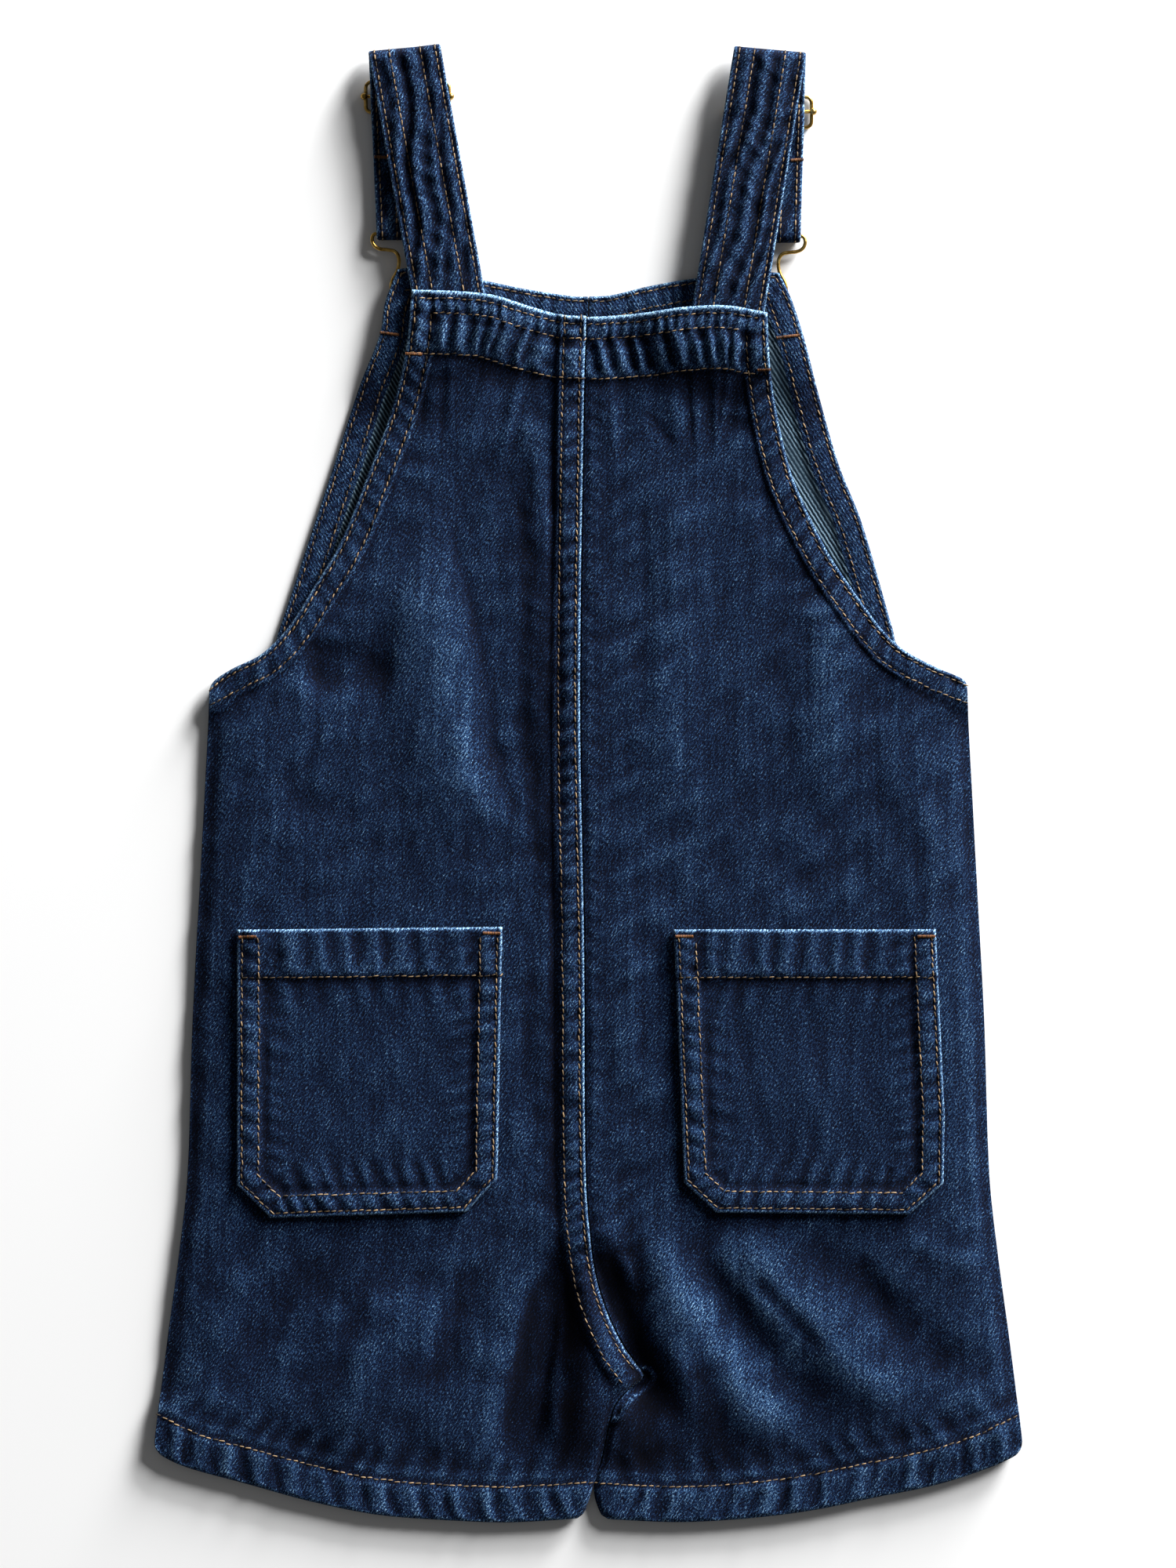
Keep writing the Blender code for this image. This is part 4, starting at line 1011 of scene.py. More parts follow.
def back_half(side, outer, inner, hem, band, lapped):
    """One back half: band with its facing, armhole, leg hem, and its side of the centre seam."""
    sheet = Sheet(outer, inner, hem, band)
    v, x, y = grid_of(sheet, BACK_LENGTH)
    edges = {"arm": sheet.edge("outer", UNDERARM, 1.0), "leg": sheet.edge("hem"),
             "top": sheet.edge("top"), "seam": sheet.edge("inner", CROTCH, 1.0)}
    lines = {key: edge.near(x, y) for key, edge in edges.items()}
    arm = lines["arm"][0]
    (leg, leg_place), (top, top_place), (seam, seam_place) = lines["leg"], lines["top"], lines["seam"]
    side_gap = sheet.edge("outer", 0.0, UNDERARM).near(x, y)[0]
    inseam = sheet.edge("inner", 0.0, CROTCH).near(x, y)[0]
    # The lip of the right leg shows under the end of the lap, across a dark gap
    lip = sheet.edge("inner", LIP_START, CROTCH).near(x, y)[0]
    x, y = softened(x, y, side_gap, leg)
    seed = 10 if side == "left" else 40

    low = back_under(x, y)
    between_hems = ease((leg - LEG_HEM) / 12.0) * (1 - ease((v - 0.645) / 0.03))
    low = low - SIDE_DROP * (1 - ease(side_gap / SIDE_REACH)) * between_hems
    creased = low + fold_height(x, y, CREASES) * ease((leg - 10.0) / 10.0)
    low = np.maximum(creased, np.minimum(low, LOWEST_CREASE))
    thick = np.maximum(np.maximum(turned_edge(leg, LEG_HEM), turned_edge(top, FACING)),
                       turned_edge(arm, ARM_HEM))
    high = low + CLOTH + thick
    high += 0.16 * crumple(x, y, seed, 46.0, 14.0) * ease(leg / 12.0)
    high += 0.10 * crumple(x, y * 0.3, seed + 8, 22.0, 8.0) * ease(leg / 12.0)
    high += 0.07 * crumple(x, y * 0.6, seed + 9, 9.0, 4.5)

    # Puckers that the seams drew up in the wash, and the hems' creases, swell and tuck
    crests = crease_lines(leg_place + 0.35 * leg + 1.2 * np.sin(leg / 3.0), seed + 24, 17.0)
    crests = crests * between(leg, 1.2, LEG_HEM - 0.6)
    puffed = between(leg, LEG_HEM + 1.2, LEG_HEM + 5.0, 3.0)
    tucked = between(top, ROW_FAR + 1.6, ROW_FAR + 4.2, 1.6)
    tucked = tucked * (0.6 + 0.4 * ripple(top_place, seed + 25, 26.0))
    high += puckers(lines, BACK_PUCKERS, seed) + 0.40 * crests + 0.35 * puffed - 0.55 * tucked
    strip = ripple(seam_place + 0.45 * seam, seed + 5, 7.0)
    strip = strip + 0.5 * ripple(seam_place - seam, seed + 22, 4.0)

    rows = (furrow(arm, ROW_NEAR) + furrow(arm, ROW_FAR) + furrow(leg, LEG_HEM, 0.5)
            + furrow(top, BAND_NEAR) + furrow(top, BAND_FAR, 0.5) + furrow(top, FACING, 0.45))
    if lapped:
        high += 0.55 * strip * between(seam, 2.4, SEAM_LAP - 1.4)
        high += SEAM_LOOK * (1.0 - ease((seam - SEAM_LAP) / 1.8)) * ease((y + 236.0) / 9.0)
        high -= rounded(seam, 1.0, 0.9)
        rows += furrow(seam, ROW_NEAR) + furrow(seam, ROW_FAR)
    else:
        # The edge dips under the lap, and most of all beside the crotch
        at_crotch = ease((y + 250.0) / 22.0) * ease((-176.0 - y) / 30.0)
        dip = (0.5 + 2.6 * at_crotch) * (1 - ease(seam / (3.0 + 9.0 * at_crotch)))
        low = low - np.minimum(dip, np.maximum(low - LOWEST_CREASE, 0.0))
        high += 0.15 * strip * between(seam, 0.3, 7.0, 3.0) - dip
        high += 1.5 * np.exp(-((lip - 3.6) / 1.2) ** 2) - 2.2 * (1 - ease(lip / 2.4))
    high -= rows
    high -= rounded(np.minimum(np.minimum(leg, top), arm))
    high -= rounded(inseam, 3.4, 2.2)
    high = np.maximum(high, low + THINNEST)

    # Wear with painted shade: proud creases and crests paled, hollows, stitch furrows and tucks darkened
    # where shade falls, and the table's painted shade and light
    wear = wear_and_crease_shade(high) - 0.45 * rows + fold_height(x, y, FADES_PAINTED_SHADE_AND_LIGHT)
    wear += 0.16 * puffed * (0.7 + 0.3 * ripple(leg_place, seed + 26, 60.0))
    wear += 0.17 * crests - 0.2 * tucked + 0.12 * between(top, -5.0, FACING, 3.0)
    abraded = (1.0 * (1 - ease(top / 2.0)) + 0.62 * (1 - ease(arm / 1.6)) + 0.40 * (1 - ease(leg / 1.8))
               + 0.20 * (1 - ease(side_gap / 3.0)) + 0.25 * (1 - ease(inseam / 1.6)))
    if lapped:
        abraded = abraded + 0.85 * (1 - ease((seam - 0.2) / 1.0)) * (0.85 + 0.15 * strip)
    else:
        abraded = abraded + 0.6 * np.exp(-((lip - 3.2) / 0.8) ** 2)
    piece, tree = flat_piece("back_" + side, x, y, (low, high), wear, abraded, (1.0, 0.0))

    turn = 1 if side == "left" else -1
    arm_edge, leg_edge, top_edge, seam_edge = edges.values()
    thread_rows = [
        (carried_on(arm_edge.inset(-turn * ROW_NEAR, 5.0, FACING), 7.0, False), seed + 11, 1),
        (carried_on(arm_edge.inset(-turn * ROW_FAR, 10.0, ROW_FAR), 16.0, False), seed + 12, 1),
        (arm_edge.inset(-turn * ROW_NEAR, arm_edge.run[-1] - FACING, ROW_NEAR), seed + 18, 1),
        (carried_on(leg_edge.inset(turn * LEG_HEM), PAST_SIDE), seed + 13, 1),
        (top_edge.inset(-turn * BAND_NEAR, 3.0), seed + 14, 1),
        (top_edge.inset(-turn * BAND_FAR, ROW_FAR), seed + 15, 1),
        (top_edge.inset(-turn * FACING, -1.0), seed + 16, 1),
    ]
    if lapped:
        thread_rows += [(seam_edge.inset(ROW_NEAR, 4.0), seed + 17, 1),
                        (seam_edge.inset(ROW_FAR, 4.0), seed + 19, 1)]
    stitches = sewn("back_" + side, tree, thread_rows)
    return tree


def front_half(side, outer, inner, hem, bib):
    """One front half, wrong side up, with its turned armhole and bib hems."""
    sheet = Sheet(outer, inner, tuple((x, y + FRONT_HEM_RISE) for x, y in hem), bib)
    _v, x, y = grid_of(sheet, FRONT_LENGTH, FRONT_PITCH)
    arm_edge, leg_edge, top_edge = sheet.edge("outer", UNDERARM, 1.0), sheet.edge("hem"), sheet.edge("top")
    lines = {"arm": arm_edge.near(x, y), "leg": leg_edge.near(x, y), "top": top_edge.near(x, y)}
    arm, leg, top = (gap for gap, _place in lines.values())
    x, y = softened(x, y, sheet.edge("outer", 0.0, UNDERARM).near(x, y)[0], leg)
    seed = 70 if side == "left" else 90

    low = bib_lift(x, y)
    thick = np.maximum(np.maximum(turned_edge(leg, LEG_HEM), turned_edge(top, BIB_HEM)),
                       turned_edge(arm, ARM_HEM + 0.8))
    rows = furrow(arm, ROW_NEAR) + furrow(arm, ROW_FAR) + furrow(top, ROW_NEAR) + furrow(top, ROW_FAR)
    high = low + CLOTH + thick + puckers(lines, FRONT_PUCKERS, seed) - rows
    high -= rounded(np.minimum(np.minimum(leg, top), arm))
    high = np.maximum(high, low + THINNEST)
    # Wear with painted shade: proud creases paled, hollows and stitch furrows darkened where shade falls
    wear = wear_and_crease_shade(high) - 0.45 * rows
    abraded = 0.8 * (1 - ease(top / 1.5)) + 0.55 * (1 - ease(arm / 1.3))
    # The upper face is the cloth's wrong side beyond the turned hems
    beyond = np.minimum(np.minimum(arm - ARM_HEM - 1.0, top - BIB_HEM - 0.8), leg - LEG_HEM)
    inside = (0.0, np.clip(0.5 + beyond, 0.0, 1.0))
    piece, tree = flat_piece("front_" + side, x, y, (low, high), wear, abraded, inside, True)

    turn = 1 if side == "left" else -1
    thread_rows = [
        (arm_edge.inset(-turn * ROW_NEAR, 20.0, 1.0), seed + 11, 1),
        (arm_edge.inset(-turn * ROW_FAR, 20.0, ROW_NEAR), seed + 12, 1),
        (top_edge.inset(-turn * ROW_NEAR, 1.0), seed + 13, 1),
        (top_edge.inset(-turn * ROW_FAR, ROW_NEAR), seed + 14, 1),
        # The right side of the front lies face down: its hem, armhole, bib and centre seam rows
        (carried_on(leg_edge.inset(turn * LEG_HEM), PAST_SIDE), seed + 15, -1),
    ]
    seam_edge = sheet.edge("inner", CROTCH, 1.0)
    for index, row in enumerate((ROW_NEAR, ROW_FAR)):
        thread_rows.append((arm_edge.inset(-turn * row, 3.0, ROW_NEAR), seed + 16 + index, -1))
        thread_rows.append((top_edge.inset(-turn * row, ROW_NEAR), seed + 18 + index, -1))
        if side == "left":
            thread_rows.append((seam_edge.inset(row, 4.0), seed + 20 + index, -1))
    stitches = sewn("front_" + side, tree, thread_rows)
    return tree


def pocket(side, outer, inner):
    """Patch pocket: turned top hem with one row, double rows round the rest, worn edges."""
    hem, top_middle = (((outer[end][1] + inner[end][1]) / 2, (outer[end][2] + inner[end][2]) / 2)
                       for end in (0, -1))
    sheet = Sheet(outer, inner, (hem,), (top_middle,), False)
    _v, x, y = grid_of(sheet, POCKET_LENGTH)
    (out, out_place), (inn, inn_place), (bottom, bottom_place), (top, top_place) = (
        sheet.edge(key).near(x, y) for key in ("outer", "inner", "hem", "top"))
    rim = np.minimum(np.minimum(out, inn), bottom)
    place = np.where(rim == bottom, bottom_place, np.where(rim == out, out_place + 300, inn_place + 600))
    seed = 130 if side == "left" else 160

    low = back_under(x, y) + CLOTH + POCKET_CLEAR
    thick = np.maximum(0.9 * turned_edge(rim, POCKET_TURN), 1.2 * turned_edge(top, POCKET_HEM))
    turned = ripple(place + 0.4 * rim, seed + 1, 7.0) * between(rim, 2.2, POCKET_TURN - 0.6)
    turned = turned * np.where(rim == bottom, 1.35, 1.0)
    within = ripple(place + 0.3 * rim, seed + 3, 7.0) * between(rim, POCKET_TURN, 20.0, 7.0)
    within = within * np.where(rim == bottom, 1.6, 0.7)
    channel = between(rim, POCKET_TURN + 1.0, POCKET_TURN + 3.6, 2.0)
    channel = channel * (0.6 + 0.4 * ripple(place, seed + 7, 30.0))
    rows = furrow(rim, ROW_NEAR) + furrow(rim, ROW_FAR) + furrow(top, POCKET_HEM, 0.5)
    high = low + CLOTH + thick
    high += 0.22 * crumple(x, y * 0.7, seed, 55.0, 20.0) * ease(rim / 14.0)
    high += 0.10 * crumple(x, y * 0.35, seed + 4, 20.0, 7.0) * ease(rim / 8.0)
    high += 0.50 * turned + 0.32 * within - 0.45 * channel - rows
    high += puckers({"top": (top, top_place)}, POCKET_PUCKERS, seed)
    high -= rounded(np.minimum(rim, top))
    high = np.maximum(high, low + THINNEST)
    # Wear with painted shade: proud creases paled, hollows and stitch furrows darkened where shade falls
    wear = wear_and_crease_shade(high) - 0.45 * rows
    abraded = 0.85 * (1 - ease(top / 1.4)) + 0.70 * (1 - ease(rim / 1.4))
    piece, tree = flat_piece("pocket_" + side, x, y, (low, high), wear, abraded, (1.0, 0.0))

    turn = 1 if side == "left" else -1
    corners = [corner[1:] for corner in reversed(outer)] + [corner[1:] for corner in inner]
    thread_rows = [(Edge(mitred(corners, turn * row)).inset(0.0, POCKET_CUT, POCKET_CUT),
                    seed + 11 + index, 1) for index, row in enumerate((ROW_NEAR, ROW_FAR))]
    thread_rows.append((sheet.edge("top").inset(-turn * POCKET_HEM, 0.5, 0.5), seed + 17, 1))
    stitches = sewn("pocket_" + side, tree, thread_rows)
    return tree


def strap_path(side):
    """Centre line of a strap from behind the band to its end on the slide: rows of (y, z)."""
    band_y, top_y, hook_y, slide_y = (STRAPS[side][key][1] for key in ("band", "top", "hook", "slide"))
    low = 2.95
    turn_r = (STRAP_Z - low) / 2
    turn_y = top_y - turn_r - STRAP_T / 2
    loop_r = WIRE / 2 + 0.2 + STRAP_T / 2
    path = [(band_y - STRAP_TUCK, STRAP_Z - 0.05), (band_y + 6.0, STRAP_Z)]
    path += [(y, STRAP_Z + 0.1) for y in np.linspace(band_y + 20.0, turn_y - 6.0, 6)]
    for step in range(7):
        angle = math.radians(90 - 30 * step)
        path.append((turn_y + turn_r * math.cos(angle), low + turn_r + turn_r * math.sin(angle)))
    # Down through the slide, under its bar, and up again
    path += [(slide_y + SLIDE_HALF_H + 1.6, low + 0.05), (slide_y + SLIDE_HALF_H - 0.6, low - 0.1),
             (slide_y + 1.6, 0.92), (slide_y - 1.6, 0.92), (slide_y - SLIDE_HALF_H + 0.6, low - 0.1),
             (slide_y - SLIDE_HALF_H - 1.6, low - 0.05), (slide_y - 13.0, 1.5)]
    path += [(y, 1.15) for y in np.linspace(slide_y - 18.0, hook_y + 8.0, 4)]
    # Round the hook's wire and back to the bar
    path.append((hook_y + 3.0, HOOK_Z - loop_r))
    for step in range(7):
        angle = math.radians(-90 - 30 * step)
        path.append((hook_y + loop_r * math.cos(angle), HOOK_Z + loop_r * math.sin(angle)))
    path += [(hook_y + 4.0, HOOK_Z + loop_r - 0.15), (hook_y + 9.0, 3.4)]
    path += [(y, 3.3) for y in np.linspace(hook_y + 14.0, slide_y - 16.0, 4)]
    path += [(slide_y - SLIDE_HALF_H - 2.5, 4.7), (slide_y - SLIDE_HALF_H + 1.0, 4.95),
             (slide_y - 1.5, BAR_Z + WIRE / 2 + 1.2), (slide_y + 0.8, BAR_Z + WIRE / 2 + 1.0),
             (slide_y + 1.9, BAR_Z + 0.6)]
    return np.array(path)


def strap_course(side):
    """Middle line of a strap as closely spaced points, with the directions across it and out of it."""
    (band_x, band_y), (top_x, top_y), (hook_x, hook_y) = (STRAPS[side][key]
                                                         for key in ("band", "top", "hook"))
    path = strap_path(side)
    turned_at = int(path[:, 0].argmax())
    knots = np.arange(len(path), dtype=float)
    run = distances_along(path)
    count = int(run[-1] / STRAP_STEP)
    at = np.interp(np.linspace(0, run[-1], count), run, knots)
    course = along(np.column_stack((knots, path)), at)
    tangent = directions(course)
    share = ease((at - turned_at + 4) / 8)
    back_turn = math.atan2(band_x - top_x, top_y - band_y)
    front_turn = math.atan2(hook_x - top_x, top_y - hook_y)
    back_x = top_x + (top_y - course[:, 0]) * math.tan(back_turn)
    front_x = top_x + (top_y - course[:, 0]) * math.tan(front_turn)
    middle = np.stack((back_x * (1 - share) + front_x * share, course[:, 0], course[:, 1]), axis=1)
    turn = back_turn * (1 - share)
    wide = np.stack((np.cos(turn), np.sin(turn), np.zeros(count)), axis=1)
    normal = np.stack((np.zeros(count), -tangent[:, 1], tangent[:, 0]), axis=1)
    return middle, wide, normal, np.linspace(0, run[-1], count)


def strap(side):
    """One strap: a stitched strip that turns over at the shoulder and loops through the brass."""
    middle, wide, normal, run = strap_course(side)
    count = len(run)
    half_steps = steps_along(STRAP_W / 2, True, False, STRAP_PITCH)
    offsets = np.array(sorted({round(value, 3) for value in
                               np.concatenate((half_steps - STRAP_W / 2, STRAP_W / 2 - half_steps))}))
    w = np.repeat(offsets[None, :], count, axis=0)
    s = np.repeat(run[:, None], len(offsets), axis=1)
    rim = STRAP_W / 2 - np.abs(w)
    seed = 200 if side == "left" else 230
    lanes = np.where(w > 0, ripple(s + 0.9 * rim, seed, 9.0), ripple(s - 0.7 * rim, seed + 1, 8.0))
    grooves = furrow(rim, ROW_NEAR) + furrow(rim, STRAP_FAR)
    lengthwise = ripple(w - 0.13 * s + 1.2 * np.sin(s / 7.0), seed + 3, 6.5)
    swell = 0.34 * lanes * between(rim, 2.4, ROW_FAR - 1.6)
    swell += 0.20 * ripple(s + 0.7 * w, seed + 2, 8.0) * between(rim, ROW_FAR, 30.0, 2.0)
    swell += 0.95 * lengthwise * between(rim, 3.0, 30.0, 4.0)
    swell += 0.20 * crumple(w, s * 0.6, seed + 4, 12.0, 5.0)
    swell -= 1.5 * grooves
    # Wear with painted shade: proud wrinkles paled, hollows and stitch grooves darkened where shade falls
    wear = wear_and_crease_shade(swell) - 0.45 * grooves
    quarter = np.sqrt(1.0 - np.clip(1.0 - rim / 0.9, 0, 1) ** 2 * 0.97)
    half = STRAP_T / 2 * quarter
    # The faces that press on another layer or on the brass stay plain
    back_run = STRAPS[side]["top"][1] - STRAPS[side]["band"][1]
    free = ease((s - 8.0) / 6.0) * (1 - ease((s - back_run + 2.0) / 8.0))
    spread = wide[:, None, :] * w[..., None]
    over = middle[:, None, :] + spread + normal[:, None, :] * (half + swell * free)[..., None]
    under = middle[:, None, :] + spread - normal[:, None, :] * half[..., None]
    abraded = np.clip(0.8 * (1 - ease(rim / 1.4)) * (0.75 + 0.25 * lanes), 0, 1)
    values = {"wear": (wear, wear), "edge": (abraded, abraded), "inside": (0.0, 0.0)}
    piece = cloth_shell("denim_strap_" + side, under, over, np.stack((w, s), axis=2), values, True)
    stands_for(piece, "strap_" + side)

    thread = Sewing()
    rng = np.random.default_rng(seed + 9)
    near_lane, far_lane = STRAP_W / 2 - ROW_NEAR, STRAP_W / 2 - STRAP_FAR
    for lane in (-near_lane, -far_lane, far_lane, near_lane):
        column = int(np.abs(offsets - lane).argmin())
        for face, sign in ((over, 1.0), (under, -1.0)):
            places, headings = evenly(face[:, column], STITCH_PITCH, rng.uniform(0.2, 0.8))
            positions = np.linspace(0, count - 1, len(places)).round().astype(int)
            for place, heading, index in zip(places, headings, positions):
                if place[2] < THREAD:
                    continue    # no room for a stitch between the strap and the floor
                ahead = heading + wide[index] * rng.normal(0.08, 0.05)
                ahead /= np.linalg.norm(ahead)
                thread.stitch(place, ahead, normal[index] * sign,
                              STITCH_LENGTH * rng.uniform(0.85, 1.1),
                              THREAD * rng.uniform(0.85, 1.15), rng.uniform(0.0, 1.0))
    stitches = thread.finish("thread_strap_" + side, TAN)
    return top_tree(piece)


def bartacks(trees):
    """Close zigzag bars that hold the ends of seams."""
    table = (
        # piece, x, y, length, width, degrees from +X
        ("pocket_left", -130.2, -58.4, 6.4, 1.2, 2.0),
        ("pocket_left", -37.0, -57.0, 6.4, 1.2, -2.0),
        ("pocket_right", 129.0, -58.2, 6.4, 1.2, 0.0),
        ("pocket_right", 36.6, -58.2, 6.4, 1.2, 0.0),
        ("back_left", -66.6, 164.2, 6.0, 1.2, -2.0),
        ("back_right", 67.0, 158.2, 4.4, 1.1, 2.0),
        ("front_left", -76.9, 172.4, 8.6, 1.1, -8.0),
        ("front_right", 76.4, 171.2, 8.6, 1.1, 7.0),
        ("strap_left", -79.2, 240.0, 5.2, 1.2, -4.0),
        ("strap_right", 80.2, 239.0, 5.2, 1.2, 4.0),
    )
    thread = Sewing()
    rng = np.random.default_rng(5)
    for piece, x, y, length, width, angle in table:
        heading = np.array((math.cos(math.radians(angle)), math.sin(math.radians(angle))))
        count = int(length / BARTACK_PITCH)
        for index in range(count):
            spot = np.array((x, y)) + heading * (index / (count - 1) - 0.5) * length
            places, normals = drop(trees[piece], [spot])
            if len(places):
                lean = BARTACK_LEAN if index % 2 else -BARTACK_LEAN
                cross = np.array((-heading[1] + lean * heading[0], heading[0] + lean * heading[1], 0.0))
                cross -= normals[0] * cross.dot(normals[0])
                cross /= np.linalg.norm(cross)
                thread.stitch(places[0] + normals[0] * BARTACK_RISE, cross, normals[0], width,
                              BARTACK_THREAD, rng.uniform(0.1, 1.0))
    thread.finish("bartacks", RUST)


# Brass

def wire_piece(name, points, radius, smooth):
    """Drawn wire bent to a closed ring through points, as a mesh."""
    curve = bpy.data.curves.new(name, "CURVE")
    curve.dimensions = "3D"
    curve.bevel_depth = radius * MM
    curve.bevel_resolution = 4
    curve.resolution_u = 6
    if smooth:
        spline = curve.splines.new("BEZIER")
        spline.bezier_points.add(len(points) - 1)
        for knot, place in zip(spline.bezier_points, points):
            knot.co = Vector(place) * MM
            knot.handle_left_type = "AUTO"
            knot.handle_right_type = "AUTO"
    else:
        spline = curve.splines.new("POLY")
        spline.points.add(len(points) - 1)
        for knot, place in zip(spline.points, points):
            knot.co = (*(Vector(place) * MM), 1.0)
    spline.use_cyclic_u = True
    piece = bpy.data.objects.new(name, curve)
    bpy.context.collection.objects.link(piece)
    bpy.ops.object.select_all(action="DESELECT")
    piece.select_set(True)
    bpy.context.view_layer.objects.active = piece
    bpy.ops.object.convert(target="MESH")
    piece = bpy.context.active_object
    piece.data.shade_smooth()
    piece.data.materials.append(BRASS)
    return piece


def hook(side):
    """Wire hook: one closed wire with a bar for the strap, a neck, and an eye round the button."""
    hook_x, bar_y = STRAPS[side]["hook"]
    foot_y = BUTTON_Y - bar_y - SHANK_R - 0.3 - WIRE / 2
    half = list(HOOK_WIRE) + [(2.6, foot_y + 1.0), (1.2, foot_y + 0.15)]
    ring = half + [(0.0, foot_y)] + [(-x, y) for x, y in reversed(half[1:])]
    piece = wire_piece("brass_hook_" + side, [(hook_x + x, bar_y + y, HOOK_Z) for x, y in ring],
                       WIRE / 2, True)
    stands_for(piece, "hook_" + side)


def slider(side):
    """Slide: a wire frame with rounded corners, and a bar across it with a ball at each end."""
    x, y = STRAPS[side]["slide"]
    points = []
    for sign_x, sign_y, start in ((1, 1, 0), (-1, 1, 90), (-1, -1, 180), (1, -1, 270)):
        for step in range(0, 91, 15):
            angle = math.radians(start + step)
            points.append((x + sign_x * (SLIDE_HALF_W - SLIDE_CORNER) + SLIDE_CORNER * math.cos(angle),
                           y + sign_y * (SLIDE_HALF_H - SLIDE_CORNER) + SLIDE_CORNER * math.sin(angle),
                           FRAME_Z))
    ring = wire_piece("brass_slide_" + side, points, WIRE / 2, False)
    parts = [ring]
    bpy.ops.object.select_all(action="DESELECT")
    bpy.ops.mesh.primitive_cylinder_add(vertices=20, radius=WIRE / 2 * MM, depth=2 * BAR_HALF * MM,
                                        location=(x * MM, y * MM, BAR_Z * MM),
                                        rotation=(0, math.radians(90), 0))
    parts.append(bpy.context.active_object)
    for sign in (-1, 1):
        bpy.ops.mesh.primitive_uv_sphere_add(segments=20, ring_count=12, radius=BALL_R * MM,
                                             location=((x + sign * BAR_HALF) * MM, y * MM, BAR_Z * MM))
        parts.append(bpy.context.active_object)
        bpy.ops.mesh.primitive_cylinder_add(vertices=16, radius=POST_R * MM, depth=(BAR_Z - FRAME_Z) * MM,
                                            location=((x + sign * SLIDE_HALF_W) * MM, y * MM,
                                                      (BAR_Z + FRAME_Z) / 2 * MM))
        parts.append(bpy.context.active_object)
    bpy.ops.object.select_all(action="DESELECT")
    for part in parts:
        if not part.data.materials:
            part.data.materials.append(BRASS)
        part.data.shade_smooth()
        part.select_set(True)
    bpy.context.view_layer.objects.active = ring
    bpy.ops.object.join()
    bpy.ops.object.transform_apply(location=True, rotation=True, scale=True)
    bpy.ops.object.select_all(action="DESELECT")
    stands_for(ring, "slider_" + side)


def button(side):
    """Bib button, head down: pressed brass head with a rolled rim, and its shank up to the bib."""
    x = STRAPS[side]["hook"][0]
    bpy.ops.object.select_all(action="DESELECT")
    bpy.ops.mesh.primitive_circle_add(vertices=48, radius=BUTTON_R * MM, fill_type="NGON",
                                      location=(x * MM, BUTTON_Y * MM, BUTTON_RIM_Z * MM))
    head = bpy.context.active_object
    head.name = "brass_button_" + side
    bpy.ops.object.mode_set(mode="EDIT")
    bpy.ops.mesh.select_all(action="SELECT")
    steps = (
        # rise, then the radius to come to
        (0.65, 7.75),
        (0.40, 7.1),
        (0.0, SHANK_R + 0.5),
        (0.3, SHANK_R),
        (BIB_LIFT - 0.3 - 1.9, SHANK_R),
    )
    reached = BUTTON_R
    for rise, radius in steps:
        bpy.ops.mesh.extrude_region_move(TRANSFORM_OT_translate={"value": (0, 0, rise * MM)})
        bpy.ops.transform.resize(value=(radius / reached, radius / reached, 1.0),
                                 center_override=(x * MM, BUTTON_Y * MM, 0.0))
        reached = radius
    bpy.ops.object.mode_set(mode="OBJECT")
    bm = bmesh.new()
    bm.from_mesh(head.data)
    lowest = min(v.co.z for v in bm.verts)
    face = min(bm.faces, key=lambda f: f.calc_center_median().z)
    bmesh.ops.inset_region(bm, faces=[face], thickness=0.9 * MM, depth=0.0)
    bmesh.ops.recalc_face_normals(bm, faces=bm.faces)
    for vert in face.verts:
        vert.co.z = lowest - BUTTON_PROUD * MM
    bm.to_mesh(head.data)
    bm.free()
    head.data.materials.append(BRASS)
    bpy.ops.object.transform_apply(location=True, rotation=True, scale=True)
    head.data.shade_smooth()
    head.data.set_sharp_from_angle(angle=math.radians(40))
    stands_for(head, "button_" + side)


def shifted(rows, dx, dy):
    """Rows of (share, x, y), moved in the plan."""
    return tuple((share, x + dx, y + dy) for share, x, y in rows)


# The garment

right_seam = RIGHT_NOTCH + shifted(BACK_SEAM[len(RIGHT_NOTCH):], SEAM_OFFSET, -0.2)
right_front_seam = FRONT_NOTCH + shifted(FRONT_SEAM[len(FRONT_NOTCH):], SEAM_OFFSET, 0.0)
trees = {
    "front_left": front_half("left", FRONT_OUTER_LEFT, FRONT_SEAM, HEM_LEFT, BIB_LEFT),
    "front_right": front_half("right", FRONT_OUTER_RIGHT, right_front_seam, HEM_RIGHT, BIB_RIGHT),
    "back_left": back_half("left", BACK_OUTER_LEFT, BACK_SEAM, HEM_LEFT, BAND_LEFT, True),
    "back_right": back_half("right", BACK_OUTER_RIGHT, right_seam, HEM_RIGHT, BAND_RIGHT, False),
    "pocket_left": pocket("left", POCKET_LEFT_OUTER, POCKET_LEFT_INNER),
    "pocket_right": pocket("right", POCKET_RIGHT_OUTER, POCKET_RIGHT_INNER),
}
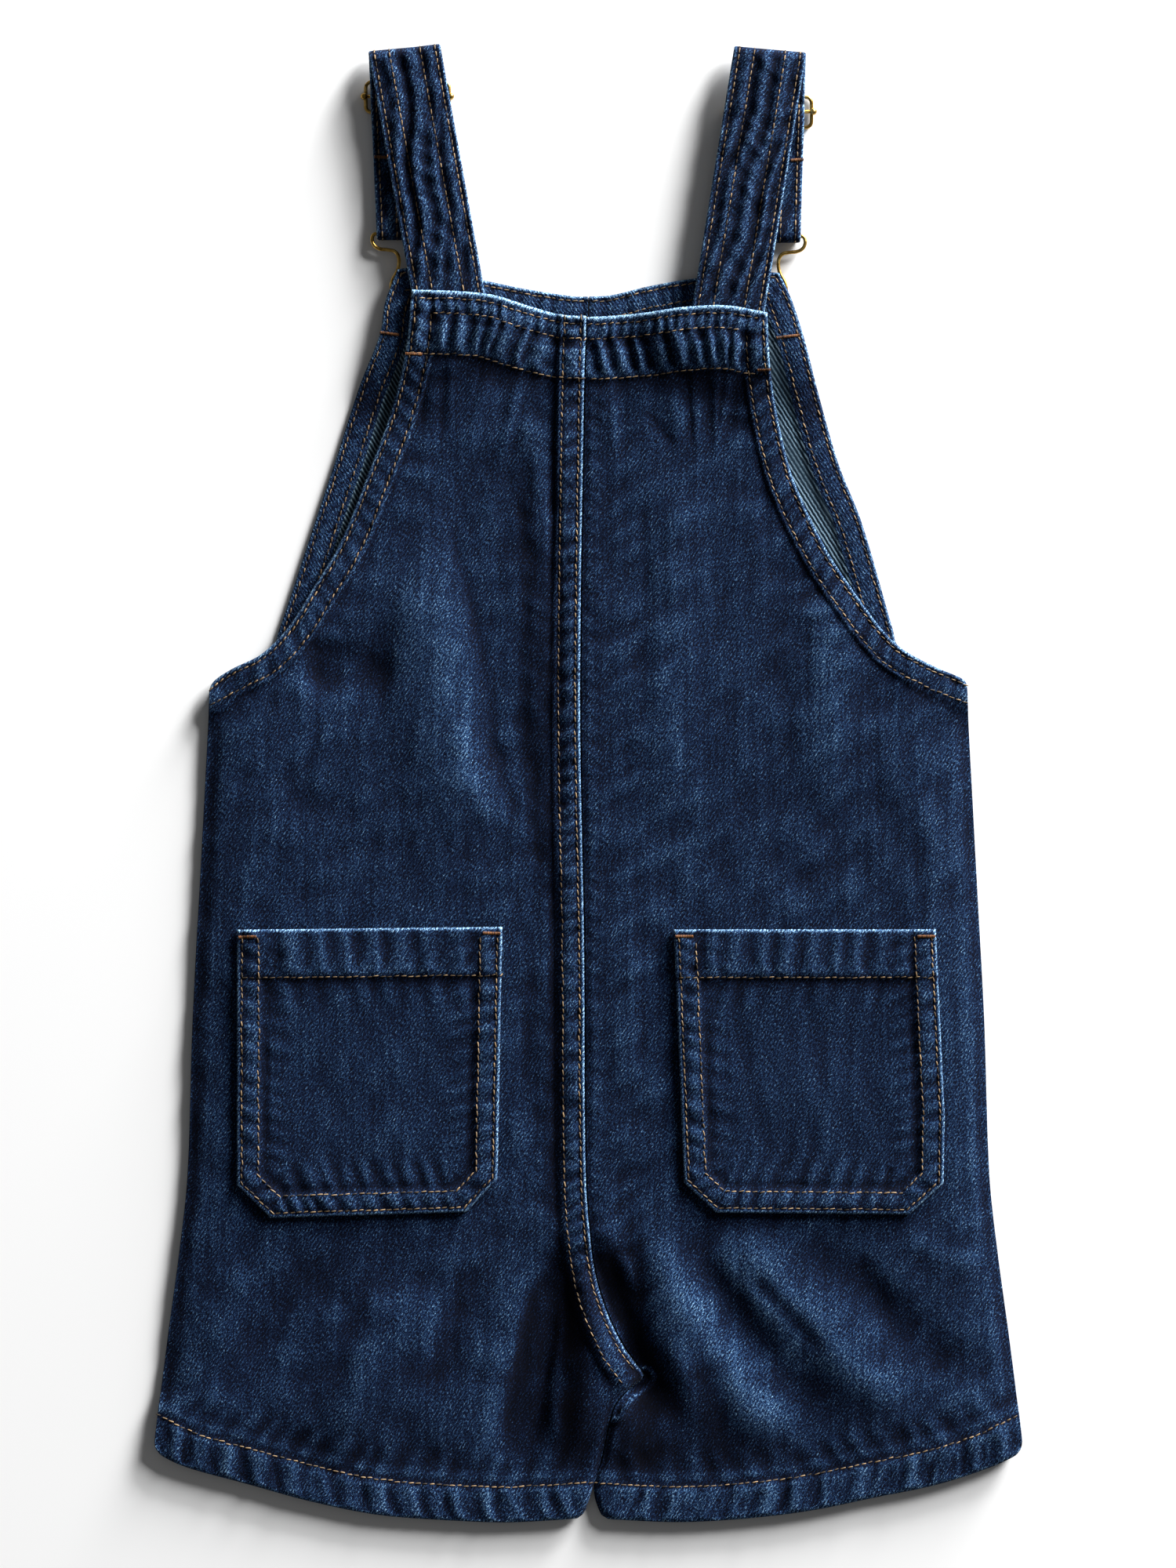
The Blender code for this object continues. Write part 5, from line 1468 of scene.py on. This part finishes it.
for strap_side in STRAPS:
    trees["strap_" + strap_side] = strap(strap_side)
    hook(strap_side)
    slider(strap_side)
    button(strap_side)
bartacks(trees)


# Floor, light and camera

def floor():
    """Matt white board under the garment: soft shadows and no shine."""
    bpy.ops.object.select_all(action="DESELECT")
    bpy.ops.mesh.primitive_plane_add(size=8.0, location=(0, 0, -0.0001))
    sheet = bpy.context.active_object
    sheet.name = "pale_floor"
    material = bpy.data.materials.new("matt_white_board")
    material.use_nodes = True
    shader = material.node_tree.nodes["Principled BSDF"]
    shader.inputs["Base Color"].default_value = (0.9, 0.9, 0.9, 1.0)
    shader.inputs["Roughness"].default_value = 0.9
    shader.inputs["Specular IOR Level"].default_value = 0.1
    sheet.data.materials.append(material)


def area_light(name, azimuth, elevation, distance, size, power):
    """A soft light: azimuth in degrees from +X towards +Y."""
    light = bpy.data.lights.new(name, "AREA")
    light.shape = "SQUARE"
    light.size = size
    light.energy = power
    lamp = bpy.data.objects.new(name, light)
    a, e = math.radians(azimuth), math.radians(elevation)
    lamp.location = Vector((math.cos(a) * math.cos(e), math.sin(a) * math.cos(e), math.sin(e))) * distance
    lamp.rotation_euler = (-lamp.location).to_track_quat("-Z", "Y").to_euler()
    bpy.context.collection.objects.link(lamp)


def camera():
    """Straight down on the garment, with the photo's frame: 450 by 600 mm."""
    lens, sensor, frame_height = 90.0, 36.0, 0.600
    data = bpy.data.cameras.new("camera")
    data.lens = lens
    data.sensor_width = sensor
    data.clip_end = 20.0
    eye = bpy.data.objects.new("camera", data)
    eye.location = (-0.00015, 0.0, frame_height * lens / sensor + 0.005)
    bpy.context.collection.objects.link(eye)
    bpy.context.scene.camera = eye


floor()
area_light("key", 43.0, 22.0, 6.0, 2.0, 610.0)
area_light("low_key", 56.0, 9.0, 5.0, 1.5, 790.0)
world = bpy.data.worlds.new("studio")
world.use_nodes = True
world.node_tree.nodes["Background"].inputs["Color"].default_value = (1.0, 1.0, 1.0, 1.0)
world.node_tree.nodes["Background"].inputs["Strength"].default_value = 0.10
bpy.context.scene.world = world
bpy.context.scene.view_settings.view_transform = "Standard"
camera()
